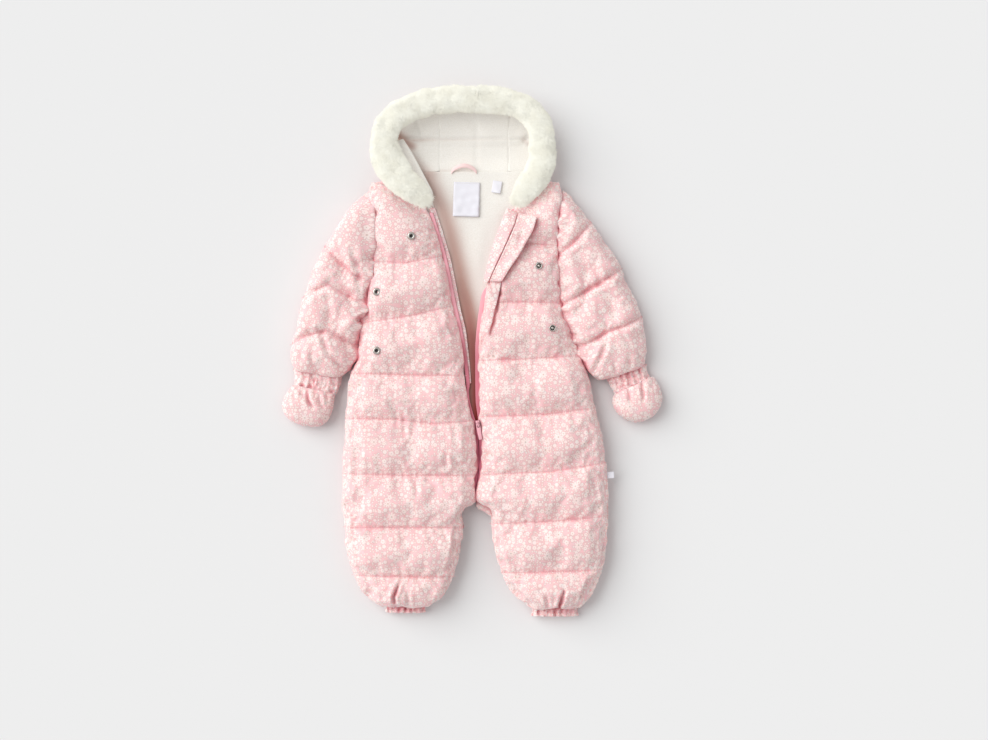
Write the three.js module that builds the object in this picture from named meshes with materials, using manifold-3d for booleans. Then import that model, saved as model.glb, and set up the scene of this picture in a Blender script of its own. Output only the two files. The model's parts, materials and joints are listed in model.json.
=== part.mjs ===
// Baby snowsuit with a fur-trimmed hood, laid out flat on its back with the front zip open.
//
// Millimetres. +Z is up, away from the surface that the suit lies on. +Y runs from the legs to the
// hood and X across the suit. "right" and "left" are the wearer's own, so right is -X.
// Every piece is a wall: an upper and a lower sheet of points with the rim closed between them.

import * as THREE from 'three';
import { mergeVertices } from 'three/addons/utils/BufferGeometryUtils.js';
import Module from 'manifold-3d';

// ---------------------------------------------------------------- driving dimensions

const SEAM_GAP = 0.4;            // room left between two sewn pieces
const BACK_TOP = 14.0;           // upper side of the padded back
const LINING = 1.6;              // fleece lining, one layer
const FRONT_UNDER = 16.6;        // underside of the fronts, which lie on the lined back
const SIDE_SEAM_LIP = 2.6;       // thickness of a padded panel where it is sewn
const ARMHOLE_RISE = 11;         // how much higher the side seam stands where a sleeve joins it
const ARMHOLE = { under: 60, top: 206, ease: 16 };
const STITCH_TOP = 30.5;         // height of the fronts along a quilting line
const CREST_RISE = 10.5;         // how far a filled channel rises above the quilting lines
const SIDE_ROUND = 30;           // width over which a front rounds down to its side seam
const ZIP_ROUND = 16;            // the same at the zip edge, which stays thicker
const ZIP_EDGE_TOP = 23.5;       // height of the fronts along the zip
const TAPE = 1.5;                // zip tape
const TAPE_UNDER = 18.6;         // underside of the open zip tapes
const TAPE_SUNK = 17.0;          // and of the closed stretch, sunk between the fronts
const FUR_UNDER = 22.4;          // underside of the fur trim
const FUR_HEIGHT = 30;
const PRESSED_TOP = 21.2;        // fronts and hood are pressed to this height under the fur
const HOOD_WALL = 7.0;
const SLEEVE_MIDDLE = 13;        // height of a sleeve's seam edges
const TUBE_ROUND = 26;           // width over which a sleeve or a cuff rounds to its edges
const TUBE_SLIT = 0.5;           // half of the opening between a flat tube's two layers
const TUBE_SLIT_INSET = 0.09;    // share of the width that the slit stops short of each edge
const BACK_ROUND = 24;           // the same rounding on the underside of the backs
const BACK_HEM_ROUND = 22;
const FLAP_CLEARANCE = 1.2;      // room between the front and the folded flap
const FLAP_THICKNESS = 3.4;
const FLAP_TAIL_THICKNESS = 2.6;
const FLAP_REACH = 13;           // how far round a point the front under the flap is looked at
const FACING = 1.4;              // facing of the right edge
const ZIP_FACING_THICKNESS = 2;
const CENTRE_BACK = 4;           // X of the centre back seam
const CROTCH_Y = -191;
const SNAP_RADIUS = 5;
const PRINT_PINK = 0xf3bcc1;
const TAPE_PINK = 0xe793a5;
const FLEECE = 0xf6f0ea;

// ---------------------------------------------------------------- tables

function table(columns, rows) {
  const names = columns.split(' ');
  return rows.map((row) => Object.fromEntries(names.map((name, i) => [name, row[i]])));
}

// Outlines from the shoulder down to the hem: where the side and the zip edge run.
const RIGHT_SIDE = table('y x', [
  [214, -127], [199, -129], [180, -124.5], [139, -123], [116, -121], [93, -124], [60, -134],
  [31, -140], [-13, -146], [-27, -154], [-56, -157], [-86, -160], [-126, -162], [-166, -163],
  [-206, -162], [-236, -160.5], [-256, -156], [-276, -151], [-296, -141], [-309, -130], [-318, -112],
]);
const RIGHT_EDGE = table('y x', [
  [192, -59], [176, -54.5], [148, -46], [117, -37], [86, -30.5], [52, -24], [27, -17], [-17, -10],
  [-61, -5.5], [-91, 1], [-143, 4.5], [-174, 1.5], [-190, 3], [-198, -7], [-216, -8], [-236, -11],
  [-256, -15], [-276, -19.5], [-296, -28], [-309, -38], [-318, -55],
]);
const LEFT_SIDE = table('y x', [
  [214, 110], [199, 112], [180, 108], [136, 106], [111, 107], [57, 113], [3, 129], [-26, 146],
  [-46, 150], [-66, 155], [-86, 158.5], [-106, 164], [-136, 169], [-166, 171], [-196, 172],
  [-226, 171], [-256, 168], [-276, 164], [-296, 156], [-310, 148], [-320, 136],
]);
const LEFT_EDGE = table('y x', [
  [196, 56], [176, 51], [148, 39], [117, 28], [86, 21], [52, 14.5], [33, 12], [8, 9.5], [-29, 9.5],
  [-78, 11], [-90, 13.6], [-104, 15.4], [-116, 15.6], [-130, 14.5], [-154, 12.5], [-174, 8], [-190, 6],
  [-197, 20], [-216, 21.5], [-236, 24],
  [-256, 29], [-276, 35], [-296, 43], [-310, 57], [-320, 72],
]);

// Where each zip tape ends towards the opening.
const RIGHT_TAPE = table('y x', [
  [182, -51], [176, -49.5], [148, -40.5], [117, -31.5], [86, -25], [52, -18.5], [27, -11.5], [-17, -5],
  [-61, -1], [-82, 4.5], [-91, 7], [-143, 9], [-174, 4.5], [-188, 4.3],
]);
const LEFT_TAPE = table('y x', [
  [182, 47], [176, 44.5], [148, 32.5], [117, 22], [86, 14.5], [52, 8.5], [33, 6], [8, 4], [-29, 4],
  [-61, 4.2], [-82, 7], [-91, 7.8], [-143, 9.8], [-174, 5.3], [-188, 5.1],
]);

// Quilting lines, at the side seam and at the zip edge.
const RIGHT_QUILT = table('side edge', [
  [214, 192], [112, 119], [36, 57], [-27, -30], [-83, -88], [-152, -154], [-219, -219], [-279, -281],
  [-318, -318],
]);
const LEFT_QUILT = table('side edge', [
  [214, 196], [132, 137], [61, 62], [-5, -11], [-70, -81], [-138, -153], [-205, -215], [-272, -276],
  [-320, -320],
]);

// Sleeves run from the armhole seam to the cuff, a section for each row.
const RIGHT_SLEEVE = table('outerX outerY innerX innerY bow top', [
  [-128.5, 207, -134.8, 60, 7, 33], [-144, 192, -137.8, 50, 2, 39], [-159, 174, -140.6, 40, 0, 39],
  [-175, 153, -141.8, 31, 0, 33], [-188, 131, -143.6, 20, 0, 38], [-199, 109, -145.2, 9, 0, 39],
  [-208, 87, -146.8, -2, 0, 33], [-215, 65, -148.6, -11, 0, 37], [-221, 43, -151.5, -18, 0, 38],
  [-226, 20, -154.6, -24, 0, 34], [-229, -1, -158, -28, 0, 33], [-228, -20, -161, -31, 0, 25],
]);
const LEFT_SLEEVE = table('outerX outerY innerX innerY bow top', [
  [114, 207, 114.8, 57, -6, 33], [131, 189, 118.8, 44, -2, 38], [147, 169, 123.2, 31, 0, 38],
  [161, 150, 127.2, 20, 0, 32], [174, 133, 131.5, 9, 0, 37], [186, 112, 136, -1, 0, 38],
  [196, 90, 140.2, -9, 0, 32], [207, 67, 144.4, -16, 0, 37], [215, 44, 149, -21, 0, 36],
  [219, 22, 154, -26, 0, 32], [222, 2, 160, -30, 0, 32], [219, -15, 166, -33, 0, 25],
]);

// Elastic cuffs: drawn in at the middle row.
const RIGHT_CUFF = table('outerX outerY innerX innerY top', [
  [-226, -21.5, -161.5, -32.5, 23], [-223, -31, -164, -42, 19], [-225, -42, -170, -53, 23],
]);
const LEFT_CUFF = table('outerX outerY innerX innerY top', [
  [219.5, -16.5, 167.5, -34.5, 23], [220, -24, 172, -43, 19], [225, -31, 178.5, -52, 23],
]);

// Fold-over mitts, from the cuff to the round tip.
const RIGHT_MITT = table('outerX outerY innerX innerY top', [
  [-227, -43, -171, -54, 22], [-234, -54, -172.5, -61, 27], [-239, -67, -174, -70, 29],
  [-235, -79, -177, -80, 28], [-226, -88, -182, -89, 25], [-212, -93, -190, -94.5, 20],
]);
const LEFT_MITT = table('outerX outerY innerX innerY top', [
  [228, -32, 180, -53, 22], [236, -45, 175, -60, 27], [239, -58, 177.5, -70, 29],
  [236, -70, 183.5, -79, 28], [227, -81, 192, -86, 25], [216, -87, 202, -89, 20],
]);

// Elastic leg hems.
const RIGHT_HEM = table('outerX outerY innerX innerY top', [
  [-111, -318.6, -56, -318.6, 20], [-109, -323, -58, -323, 17], [-111, -328, -56, -328, 19],
]);
const LEFT_HEM = table('outerX outerY innerX innerY top', [
  [135, -320.6, 73, -320.6, 20], [133, -326, 75, -326, 17], [136, -332, 72, -332, 19],
]);

// Middle line of the fur trim, from each end at the neck up to the seam at the top of the hood.
const RIGHT_FUR = table('x y half', [
  [-53, 184, 9], [-64, 194, 15], [-77, 204, 18.5], [-92, 219, 22], [-104, 238, 22], [-109.5, 261, 18],
  [-102.5, 283, 18], [-83, 299, 18], [-56, 309, 18], [-27, 313, 18.5], [4.6, 313.5, 18.5],
]);
const LEFT_FUR = table('x y half', [
  [59, 183, 8], [65, 192, 13], [73, 204, 16.5], [82, 220, 18.5], [88.5, 240, 17.5], [87.5, 262, 18],
  [82, 285, 17.5], [64, 303, 17], [36, 311, 18], [5.4, 313.5, 18.5],
]);

// The hood's rim under the fur, from the shoulder to the seam of the centre panel.
const RIGHT_RIM = table('along x y', [
  [0, -110, 219], [0.25, -119, 244], [0.5, -118, 273], [0.7, -103, 294], [0.85, -76, 311],
  [1, -41.4, 321],
]);
const LEFT_RIM = table('along x y', [
  [0, 94, 219], [0.25, 99, 244], [0.5, 98, 270], [0.7, 86, 292], [0.85, 67, 310], [1, 46.4, 321],
]);
const HOOD_SEAM = { right: -41, left: 46, neckY: 226, crownY: 299, rimY: 322 };

// The front flap on the left side is folded back over the left front.
const PLACKET = table('innerX innerY outerX outerY', [
  [58, 173, 81, 167], [54, 158, 76, 150], [47, 142, 68, 136], [38, 122, 58, 118], [29, 103, 46, 101],
  [21.5, 86.5, 37.5, 86.5],
]);
const PLACKET_TAIL = table('innerX innerY outerX outerY', [
  [22, 84, 36, 83], [20, 66, 32, 64], [18, 52, 28, 50], [17, 38, 25, 36], [15.5, 22, 20, 20],
]);
const ZIP_FACING = table('innerX innerY outerX outerY', [
  [43.5, 180, 57, 172.5], [35, 157, 53.2, 157.8], [28.5, 140, 46, 142], [21.5, 118, 37.2, 122],
  [17, 101, 28, 103], [14.5, 86, 20.6, 86.5],
]);

// Cream facing that turns up inside the right edge of the hood.
const HOOD_FACING = table('innerX innerY outerX outerY', [
  [-86, 266, -94, 263], [-77, 252, -88, 247], [-67, 234, -78, 229], [-57, 215, -68, 211],
  [-48, 198, -57, 195], [-41, 181, -46, 179],
]);

const SNAP_SOCKETS = [[-75, 143], [-118, 74], [-118, 1]];
const SNAP_STUDS = [[83, 106], [100, 29]];

// ---------------------------------------------------------------- small helpers

const mix = (a, b, t) => a + (b - a) * t;
const clamp = (value, low, high) => Math.min(high, Math.max(low, value));
const ease = (low, high, value) => THREE.MathUtils.smoothstep(value, low, high);

// Reads a column of a table at a place between its rows.
function read(rows, key, value, column) {
  const rising = rows[rows.length - 1][key] > rows[0][key];
  const ordered = rising ? rows : [...rows].reverse();
  const at = clamp(value, ordered[0][key], ordered[ordered.length - 1][key]);
  let i = 0;
  while (i < ordered.length - 2 && ordered[i + 1][key] < at) i += 1;
  const span = ordered[i + 1][key] - ordered[i][key];
  return mix(ordered[i][column], ordered[i + 1][column], (at - ordered[i][key]) / span);
}

function distanceTo(path, x, y) {
  const point = new THREE.Vector3(x, y, 0);
  const closest = new THREE.Vector3();
  let best = Infinity;
  for (let i = 0; i < path.length - 1; i += 1) {
    const start = new THREE.Vector3(path[i].x, path[i].y, 0);
    const end = new THREE.Vector3(path[i + 1].x, path[i + 1].y, 0);
    new THREE.Line3(start, end).closestPointToPoint(point, true, closest);
    best = Math.min(best, closest.distanceTo(point));
  }
  return best;
}

// Height of a panel that goes under the fur trim: low below it, free beyond it.
function pressedByFur(x, y, height) {
  const away = Math.min(distanceTo(RIGHT_FUR, x, y), distanceTo(LEFT_FUR, x, y));
  return mix(Math.min(height, PRESSED_TOP), height, ease(15, 38, away));
}

// Builds a geometry from points and index triples and turns it outwards.
function solid(points, triangles) {
  let volume = 0;
  for (const [a, b, c] of triangles) {
    volume += points[a].dot(new THREE.Vector3().crossVectors(points[b], points[c]));
  }
  const order = volume < 0 ? triangles.map(([a, b, c]) => [a, c, b]) : triangles;
  const geometry = new THREE.BufferGeometry().setFromPoints(points);
  geometry.setIndex(order.flat());
  geometry.computeVertexNormals();
  return geometry;
}

// A wall from two grids of points of the same size, upper and lower.
function wall(upper, lower) {
  const rows = upper.length;
  const columns = upper[0].length;
  const points = [...upper.flat(), ...lower.flat()];
  const top = (i, j) => i * columns + j;
  const under = (i, j) => rows * columns + i * columns + j;
  const triangles = [];
  const quad = (a, b, c, d) => triangles.push([a, b, c], [a, c, d]);
  for (let i = 0; i < rows - 1; i += 1) {
    for (let j = 0; j < columns - 1; j += 1) {
      quad(top(i, j), top(i, j + 1), top(i + 1, j + 1), top(i + 1, j));
      quad(under(i, j), under(i + 1, j), under(i + 1, j + 1), under(i, j + 1));
    }
    quad(top(i, 0), top(i + 1, 0), under(i + 1, 0), under(i, 0));
    quad(top(i + 1, columns - 1), top(i, columns - 1), under(i, columns - 1), under(i + 1, columns - 1));
  }
  for (let j = 0; j < columns - 1; j += 1) {
    quad(top(0, j + 1), top(0, j), under(0, j), under(0, j + 1));
    quad(top(rows - 1, j), top(rows - 1, j + 1), under(rows - 1, j + 1), under(rows - 1, j));
  }
  return solid(points, triangles);
}

// An open tube of cloth: an outer and an inner loop of points for each row.
function tube(outer, inner) {
  const count = outer[0].length;
  const points = [...outer.flat(), ...inner.flat()];
  const out = (i, j) => i * count + (j % count);
  const inside = (i, j) => outer.length * count + i * count + (j % count);
  const triangles = [];
  const quad = (a, b, c, d) => triangles.push([a, b, c], [a, c, d]);
  for (let j = 0; j < count; j += 1) {
    for (let i = 0; i < outer.length - 1; i += 1) {
      quad(out(i, j), out(i, j + 1), out(i + 1, j + 1), out(i + 1, j));
      quad(inside(i, j), inside(i + 1, j), inside(i + 1, j + 1), inside(i, j + 1));
    }
    const last = outer.length - 1;
    quad(out(0, j + 1), out(0, j), inside(0, j), inside(0, j + 1));
    quad(out(last, j), out(last, j + 1), inside(last, j + 1), inside(last, j));
  }
  return solid(points, triangles);
}

// A bar of one closed section for each row, with flat ends.
function bar(sections) {
  const count = sections[0].length;
  const last = sections.length - 1;
  const points = sections.flat();
  const triangles = [];
  for (let j = 0; j < count; j += 1) {
    const next = (j + 1) % count;
    for (let i = 0; i < last; i += 1) {
      const a = i * count;
      triangles.push([a + j, a + next, a + count + next], [a + j, a + count + next, a + count + j]);
    }
  }
  for (let j = 1; j < count - 1; j += 1) {
    triangles.push([0, j + 1, j], [last * count, last * count + j, last * count + j + 1]);
  }
  return solid(points, triangles);
}

const suit = new THREE.Group();

function cloth(colour, roughness = 0.9) {
  return new THREE.MeshStandardMaterial({ color: colour, roughness, metalness: 0 });
}

function addPiece(name, geometry, material, parent = suit) {
  const mesh = new THREE.Mesh(geometry, material);
  mesh.name = name;
  parent.add(mesh);
  return mesh;
}

// ---------------------------------------------------------------- fronts and backs

// Rows of a quilted panel: some between each pair of quilting lines, with how full they are.
function quiltRows(lines, rowsPerChannel) {
  const rows = [];
  for (let i = 0; i < lines.length - 1; i += 1) {
    for (let k = 0; k < rowsPerChannel; k += 1) {
      const part = k / rowsPerChannel;
      rows.push({
        side: mix(lines[i].side, lines[i + 1].side, part),
        edge: mix(lines[i].edge, lines[i + 1].edge, part),
        lift: Math.sin(Math.PI * part) ** 0.7,
      });
    }
  }
  rows.push({ ...lines[lines.length - 1], lift: 0 });
  return rows;
}

const quarterRound = (distance, width) => Math.sqrt(1 - (1 - clamp(distance / width, 0, 1)) ** 2);

function frontTop(x, y, lift, fromSide, fromEdge, hemY) {
  const side = quarterRound(fromSide, SIDE_ROUND);
  const zip = y > CROTCH_Y ? quarterRound(fromEdge, ZIP_ROUND) : quarterRound(fromEdge, SIDE_ROUND);
  const hem = quarterRound(y - hemY, SIDE_ROUND);
  const full = STITCH_TOP + CREST_RISE * lift;
  const lip = FRONT_UNDER + SIDE_SEAM_LIP;
  const zipLip = y > CROTCH_Y ? ZIP_EDGE_TOP : lip;
  const armhole = ease(ARMHOLE.under, ARMHOLE.under + ARMHOLE.ease, y)
    * (1 - ease(ARMHOLE.top - ARMHOLE.ease, ARMHOLE.top, y));
  const sideLip = lip + ARMHOLE_RISE * armhole;
  const across = Math.min(mix(sideLip, full, side), mix(zipLip, full, zip));
  return pressedByFur(x, y, mix(lip, across, hem));
}

const FRONT_COLUMNS = [0, 0.06, 0.18, 0.36, 0.55, 0.74, 0.9, 1];

function frontGrid(side, edge, quilt) {
  const hemY = quilt[quilt.length - 1].side;
  return quiltRows(quilt, 4).map((row) => {
    const start = { x: read(side, 'y', row.side, 'x'), y: row.side };
    const end = { x: read(edge, 'y', row.edge, 'x'), y: row.edge };
    return FRONT_COLUMNS.map((u) => {
      const x = mix(start.x, end.x, u);
      const y = mix(start.y, end.y, u);
      const z = frontTop(x, y, row.lift, Math.abs(x - start.x), Math.abs(x - end.x), hemY - 6);
      return new THREE.Vector3(x, y, z);
    });
  });
}

function addFront(name, grid) {
  const under = grid.map((row) => row.map((p) => new THREE.Vector3(p.x, p.y, FRONT_UNDER)));
  addPiece(name, wall(grid, under), cloth(PRINT_PINK));
}

const rightFront = frontGrid(RIGHT_SIDE, RIGHT_EDGE, RIGHT_QUILT);
const leftFront = frontGrid(LEFT_SIDE, LEFT_EDGE, LEFT_QUILT);
addFront('front_right', rightFront);
addFront('front_left', leftFront);

// Height of a front under a point, from the nearest points of its grid.
function frontHeight(grid, x, y, reach) {
  let height = FRONT_UNDER;
  for (const row of grid) {
    for (let j = 0; j < row.length - 1; j += 1) {
      for (const part of [0, 0.25, 0.5, 0.75, 1]) {
        const p = new THREE.Vector3().lerpVectors(row[j], row[j + 1], part);
        if (Math.hypot(p.x - x, p.y - y) < reach) height = Math.max(height, p.z);
      }
    }
  }
  return height;
}

const BACK_COLUMNS = [0, 0.05, 0.16, 0.4, 0.7, 1];

// The back halves share the fronts' outline but meet on the centre back seam.
function addBack(name, side, edge, quilt, sign) {
  const seam = CENTRE_BACK + sign * SEAM_GAP / 2;
  const upper = [];
  const lower = [];
  const neckRow = { side: quilt[0].side, edge: HOOD_SEAM.neckY - 1.5 };
  for (const row of quiltRows([neckRow, ...quilt.slice(1)], 3)) {
    const legX = read(edge, 'y', row.edge, 'x');
    const endX = row.edge > CROTCH_Y - 4 ? seam : legX;
    const startX = read(side, 'y', row.side, 'x');
    const onLeg = row.edge < CROTCH_Y - 4;
    const hemRound = quarterRound(row.side - quilt[quilt.length - 1].side + 5, BACK_HEM_ROUND);
    const point = (u, z) => new THREE.Vector3(mix(startX, endX, u), mix(row.side, row.edge, u), z);
    upper.push(BACK_COLUMNS.map((u) => point(u, BACK_TOP)));
    lower.push(BACK_COLUMNS.map((u) => {
      const width = Math.abs(endX - startX);
      const round = quarterRound(u * width, BACK_ROUND)
        * (onLeg ? quarterRound((1 - u) * width, BACK_ROUND) : 1);
      return point(u, (BACK_TOP - SIDE_SEAM_LIP) * (1 - round * hemRound));
    }));
  }
  addPiece(name, wall(upper, lower), cloth(PRINT_PINK));
}

addBack('back_right', RIGHT_SIDE, RIGHT_EDGE, RIGHT_QUILT, -1);
addBack('back_left', LEFT_SIDE, LEFT_EDGE, LEFT_QUILT, 1);

// ---------------------------------------------------------------- sleeves, cuffs, mitts, hems

// A flattened tube whose two layers lie on each other, a slit apart.
function flatTube(rows, columns, gather = 0) {
  const outer = [];
  const inner = [];
  for (const row of rows) {
    const low = row.low ?? 0;
    const middle = Math.min(SLEEVE_MIDDLE, mix(low, row.top, 0.45));
    const place = (u, z, inset) => {
      const at = mix(inset, 1 - inset, u);
      const x = mix(row.innerX, row.outerX, at) + (row.bow ?? 0) * Math.sin(Math.PI * at);
      return new THREE.Vector3(x, mix(row.innerY, row.outerY, at), z);
    };
    const width = Math.hypot(row.outerX - row.innerX, row.outerY - row.innerY);
    const swell = (u) => quarterRound(Math.min(u, 1 - u) * width, TUBE_ROUND);
    const pleat = (j) => (j % 2 ? -gather : 0);
    const outerTop = [];
    const outerUnder = [];
    const innerTop = [];
    const innerUnder = [];
    for (let j = 0; j <= columns; j += 1) {
      const u = j / columns;
      outerTop.push(place(u, mix(middle, row.top, swell(u)) + pleat(j) * swell(u), 0));
      innerTop.push(place(u, middle + TUBE_SLIT * swell(u), TUBE_SLIT_INSET));
      if (j === 0 || j === columns) continue;
      outerUnder.unshift(place(u, mix(middle, low, swell(u)), 0));
      innerUnder.unshift(place(u, middle - TUBE_SLIT * swell(u), TUBE_SLIT_INSET));
    }
    outer.push([...outerTop, ...outerUnder]);
    inner.push([...innerTop, ...innerUnder]);
  }
  return tube(outer, inner);
}

addPiece('sleeve_right', flatTube(RIGHT_SLEEVE, 8), cloth(PRINT_PINK));
addPiece('sleeve_left', flatTube(LEFT_SLEEVE, 8), cloth(PRINT_PINK));
addPiece('cuff_right', flatTube(RIGHT_CUFF, 14, 3), cloth(PRINT_PINK));
addPiece('cuff_left', flatTube(LEFT_CUFF, 14, 3), cloth(PRINT_PINK));
addPiece('hem_band_right', flatTube(RIGHT_HEM, 14, 2.5), cloth(PRINT_PINK));
addPiece('hem_band_left', flatTube(LEFT_HEM, 14, 2.5), cloth(PRINT_PINK));

const MITT_COLUMNS = [0, 0.1, 0.25, 0.5, 0.75, 0.9, 1];
const MITT_MIDDLE = 11;

// Two padded layers, the upper one seen and the lower one on the surface.
function addMitt(name, rows) {
  const grids = { upper: [], middle: [], palm: [], lower: [] };
  rows.forEach((row, i) => {
    const tip = quarterRound(rows.length - 0.7 - i, 2.4);
    const point = (u, z) => new THREE.Vector3(
      mix(row.innerX, row.outerX, u), mix(row.innerY, row.outerY, u), z);
    const width = Math.hypot(row.outerX - row.innerX, row.outerY - row.innerY);
    const swell = (u) => quarterRound(Math.min(u, 1 - u) * width, 20);
    const top = (u) => mix(MITT_MIDDLE + 2, row.top, swell(u) * tip);
    const under = (u) => mix(MITT_MIDDLE - 2, 0, swell(u) * tip);
    grids.upper.push(MITT_COLUMNS.map((u) => point(u, top(u))));
    grids.middle.push(MITT_COLUMNS.map((u) => point(u, MITT_MIDDLE + SEAM_GAP / 2)));
    grids.palm.push(MITT_COLUMNS.map((u) => point(u, MITT_MIDDLE - SEAM_GAP / 2)));
    grids.lower.push(MITT_COLUMNS.map((u) => point(u, under(u))));
  });
  addPiece(`${name}_upper`, wall(grids.upper, grids.middle), cloth(PRINT_PINK));
  addPiece(`${name}_lower`, wall(grids.palm, grids.lower), cloth(PRINT_PINK));
}

addMitt('mitt_right', RIGHT_MITT);
addMitt('mitt_left', LEFT_MITT);

// ---------------------------------------------------------------- hood

const HOOD_COLUMNS = table('u rise', [[0, 0], [0.4, 0], [0.66, 0], [0.82, 0.16], [0.93, 0.5], [1, 1]]);
const HOOD_ROWS = [0, 0.14, 0.28, 0.42, 0.56, 0.7, 0.85, 1];

function hoodSidePoint(rim, seamX, u, v) {
  const rise = read(HOOD_COLUMNS, 'u', u, 'rise');
  const seamY = mix(HOOD_SEAM.neckY, HOOD_SEAM.crownY, v);
  const x = mix(seamX, read(rim, 'along', v, 'x'), u);
  const y = mix(seamY, read(rim, 'along', v, 'y'), u);
  return new THREE.Vector3(x, y, (PRESSED_TOP - HOOD_WALL) * rise);
}

function hoodCentrePoint(u, v) {
  const rise = read(HOOD_COLUMNS, 'u', v, 'rise');
  const x = mix(HOOD_SEAM.right + SEAM_GAP, HOOD_SEAM.left - SEAM_GAP, u);
  const y = mix(HOOD_SEAM.neckY, HOOD_SEAM.rimY, v);
  return new THREE.Vector3(x, y, (PRESSED_TOP - HOOD_WALL) * rise);
}

const raised = (point, by) => new THREE.Vector3(point.x, point.y, point.z + by);

// The lining is the hood's own inner side moved up, with a fold across it above the neck.
const FOLD_Y = 267;
function liningRise(y) {
  return HOOD_WALL + SEAM_GAP + 3.2 * ease(FOLD_Y - 7, FOLD_Y + 3, y);
}

function addHoodPanel(name, place, columns, rows, reach) {
  const lower = rows.map((v) => columns.map((u) => place(u, v)));
  const upper = lower.map((row) => row.map((p) => raised(p, HOOD_WALL)));
  addPiece(`hood_${name}`, wall(upper, lower), cloth(PRINT_PINK));
  const liningPoints = rows.map((v) => columns.map((u) => place(reach.u(u), reach.v(v))));
  const liningUnder = liningPoints.map((row) => row.map((p) => raised(p, liningRise(p.y))));
  const liningTop = liningUnder.map((row) => row.map((p) => raised(p, LINING)));
  addPiece(`hood_lining_${name}`, wall(liningTop, liningUnder), cloth(FLEECE, 1));
}

const sideColumns = HOOD_COLUMNS.map((row) => row.u);
const sideReach = { u: (u) => u * 0.8, v: (v) => v };
const rightHood = (u, v) => hoodSidePoint(RIGHT_RIM, HOOD_SEAM.right, u, v);
const leftHood = (u, v) => hoodSidePoint(LEFT_RIM, HOOD_SEAM.left, u, v);
addHoodPanel('side_right', rightHood, sideColumns, HOOD_ROWS, sideReach);
addHoodPanel('side_left', leftHood, sideColumns, HOOD_ROWS, sideReach);
const centreReach = { u: (u) => u, v: (v) => v * 0.84 };
addHoodPanel('centre', hoodCentrePoint, [0, 0.25, 0.5, 0.75, 1], [0, 0.2, 0.38, 0.5, 0.66, 0.82, 0.93, 1],
  centreReach);

// Cream strip between the fur and the lining on the right side of the opening.
function addHoodFacing() {
  const upper = HOOD_FACING.map((row) => [
    new THREE.Vector3(row.innerX, row.innerY, 20.6), new THREE.Vector3(row.outerX, row.outerY, 22.1),
  ]);
  const lower = upper.map((row) => row.map((p) => raised(p, -1.2)));
  lower.forEach((row) => row.forEach((p) => { p.z = Math.max(p.z, 19); }));
  addPiece('hood_facing_right', wall(upper, lower), cloth(FLEECE, 1));
}

// ---------------------------------------------------------------- fur trim

const FUR_SECTION = table('across up', [
  [-0.55, 0], [0.55, 0], [0.9, 0.2], [1, 0.48], [0.86, 0.78], [0.45, 0.97], [-0.45, 0.97],
  [-0.86, 0.78], [-1, 0.48], [-0.9, 0.2],
]);

function addFur(name, path) {
  const curve = new THREE.CatmullRomCurve3(path.map((row) => new THREE.Vector3(row.x, row.y, 0)));
  const steps = 22;
  const sections = [];
  for (let i = 0; i <= steps; i += 1) {
    const t = i / steps;
    const centre = curve.getPoint(t);
    const ahead = curve.getTangent(t);
    if (i === steps) ahead.set(Math.sign(ahead.x), 0, 0);
    const at = t * (path.length - 1);
    const k = Math.min(path.length - 2, Math.floor(at));
    const half = mix(path[k].half, path[k + 1].half, at - k);
    const height = FUR_HEIGHT * mix(0.6, 1, ease(0, 0.2, t));
    sections.push(FUR_SECTION.map(({ across, up }) => new THREE.Vector3(
      centre.x - ahead.y * across * half, centre.y + ahead.x * across * half, FUR_UNDER + up * height)));
  }
  addPiece(name, bar(sections), cloth(0xf5f3e6, 1));
}

addFur('fur_trim_right', RIGHT_FUR);
addFur('fur_trim_left', LEFT_FUR);

// ---------------------------------------------------------------- opening: lining, zip, flap

// Fleece on the inside of the back, as far as the opening shows it.
function addBackLining() {
  const under = BACK_TOP + SEAM_GAP;
  const rows = table('y tuckRight tuckLeft', [
    [224, 26, 26], [205, 22, 22], [180, 10, 10], [148, 10, 10], [117, 9, 9], [86, 8, 8], [52, 8, 8],
    [27, 8, 8], [-17, 8, 8], [-61, 9, 9], [-96, 9, 9],
  ]);
  const grid = rows.map((row) => {
    const start = read(RIGHT_EDGE, 'y', row.y, 'x') - row.tuckRight;
    const end = read(LEFT_EDGE, 'y', row.y, 'x') + row.tuckLeft;
    return [0, 0.25, 0.5, 0.75, 1].map((u) => new THREE.Vector3(mix(start, end, u), row.y, under));
  });
  addPiece('back_lining', wall(grid.map((row) => row.map((p) => raised(p, LINING))), grid),
    cloth(FLEECE, 1));
}

// A strip of even thickness over a row of points for each place along it.
function strip(rows, place, thickness) {
  const lower = rows.map((row) => place(row));
  return wall(lower.map((row) => row.map((p) => raised(p, thickness))), lower);
}

const tapeHeight = (y) => mix(TAPE_SUNK, TAPE_UNDER, ease(-96, -60, y));

// A tape starts at the points of its front's edge.
function addTape(name, front, tape, sign) {
  const edge = front.map((row) => row[row.length - 1]).filter((p) => p.y < 183 && p.y > -189);
  const place = (seam) => {
    const inner = read(tape, 'y', seam.y, 'x');
    return [seam.x + sign * SEAM_GAP, inner].map((x) => new THREE.Vector3(x, seam.y, tapeHeight(seam.y)));
  };
  addPiece(name, strip(edge, place, TAPE), cloth(TAPE_PINK, 0.7));
}

// Printed facing that shows just outside the right tape.
function addZipFacingEdge() {
  const place = (y) => {
    const tape = read(RIGHT_TAPE, 'y', y, 'x');
    const showing = mix(2, 4.6, ease(-40, 60, y));
    return [tape - 3.5, tape + showing].map((x) => new THREE.Vector3(x, y, FRONT_UNDER));
  };
  const rows = [180, 165, 148, 132, 117, 101, 86, 69, 52, 27, 8, -17, -40];
  addPiece('front_facing_right', strip(rows, place, FACING), cloth(PRINT_PINK));
}

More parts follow.
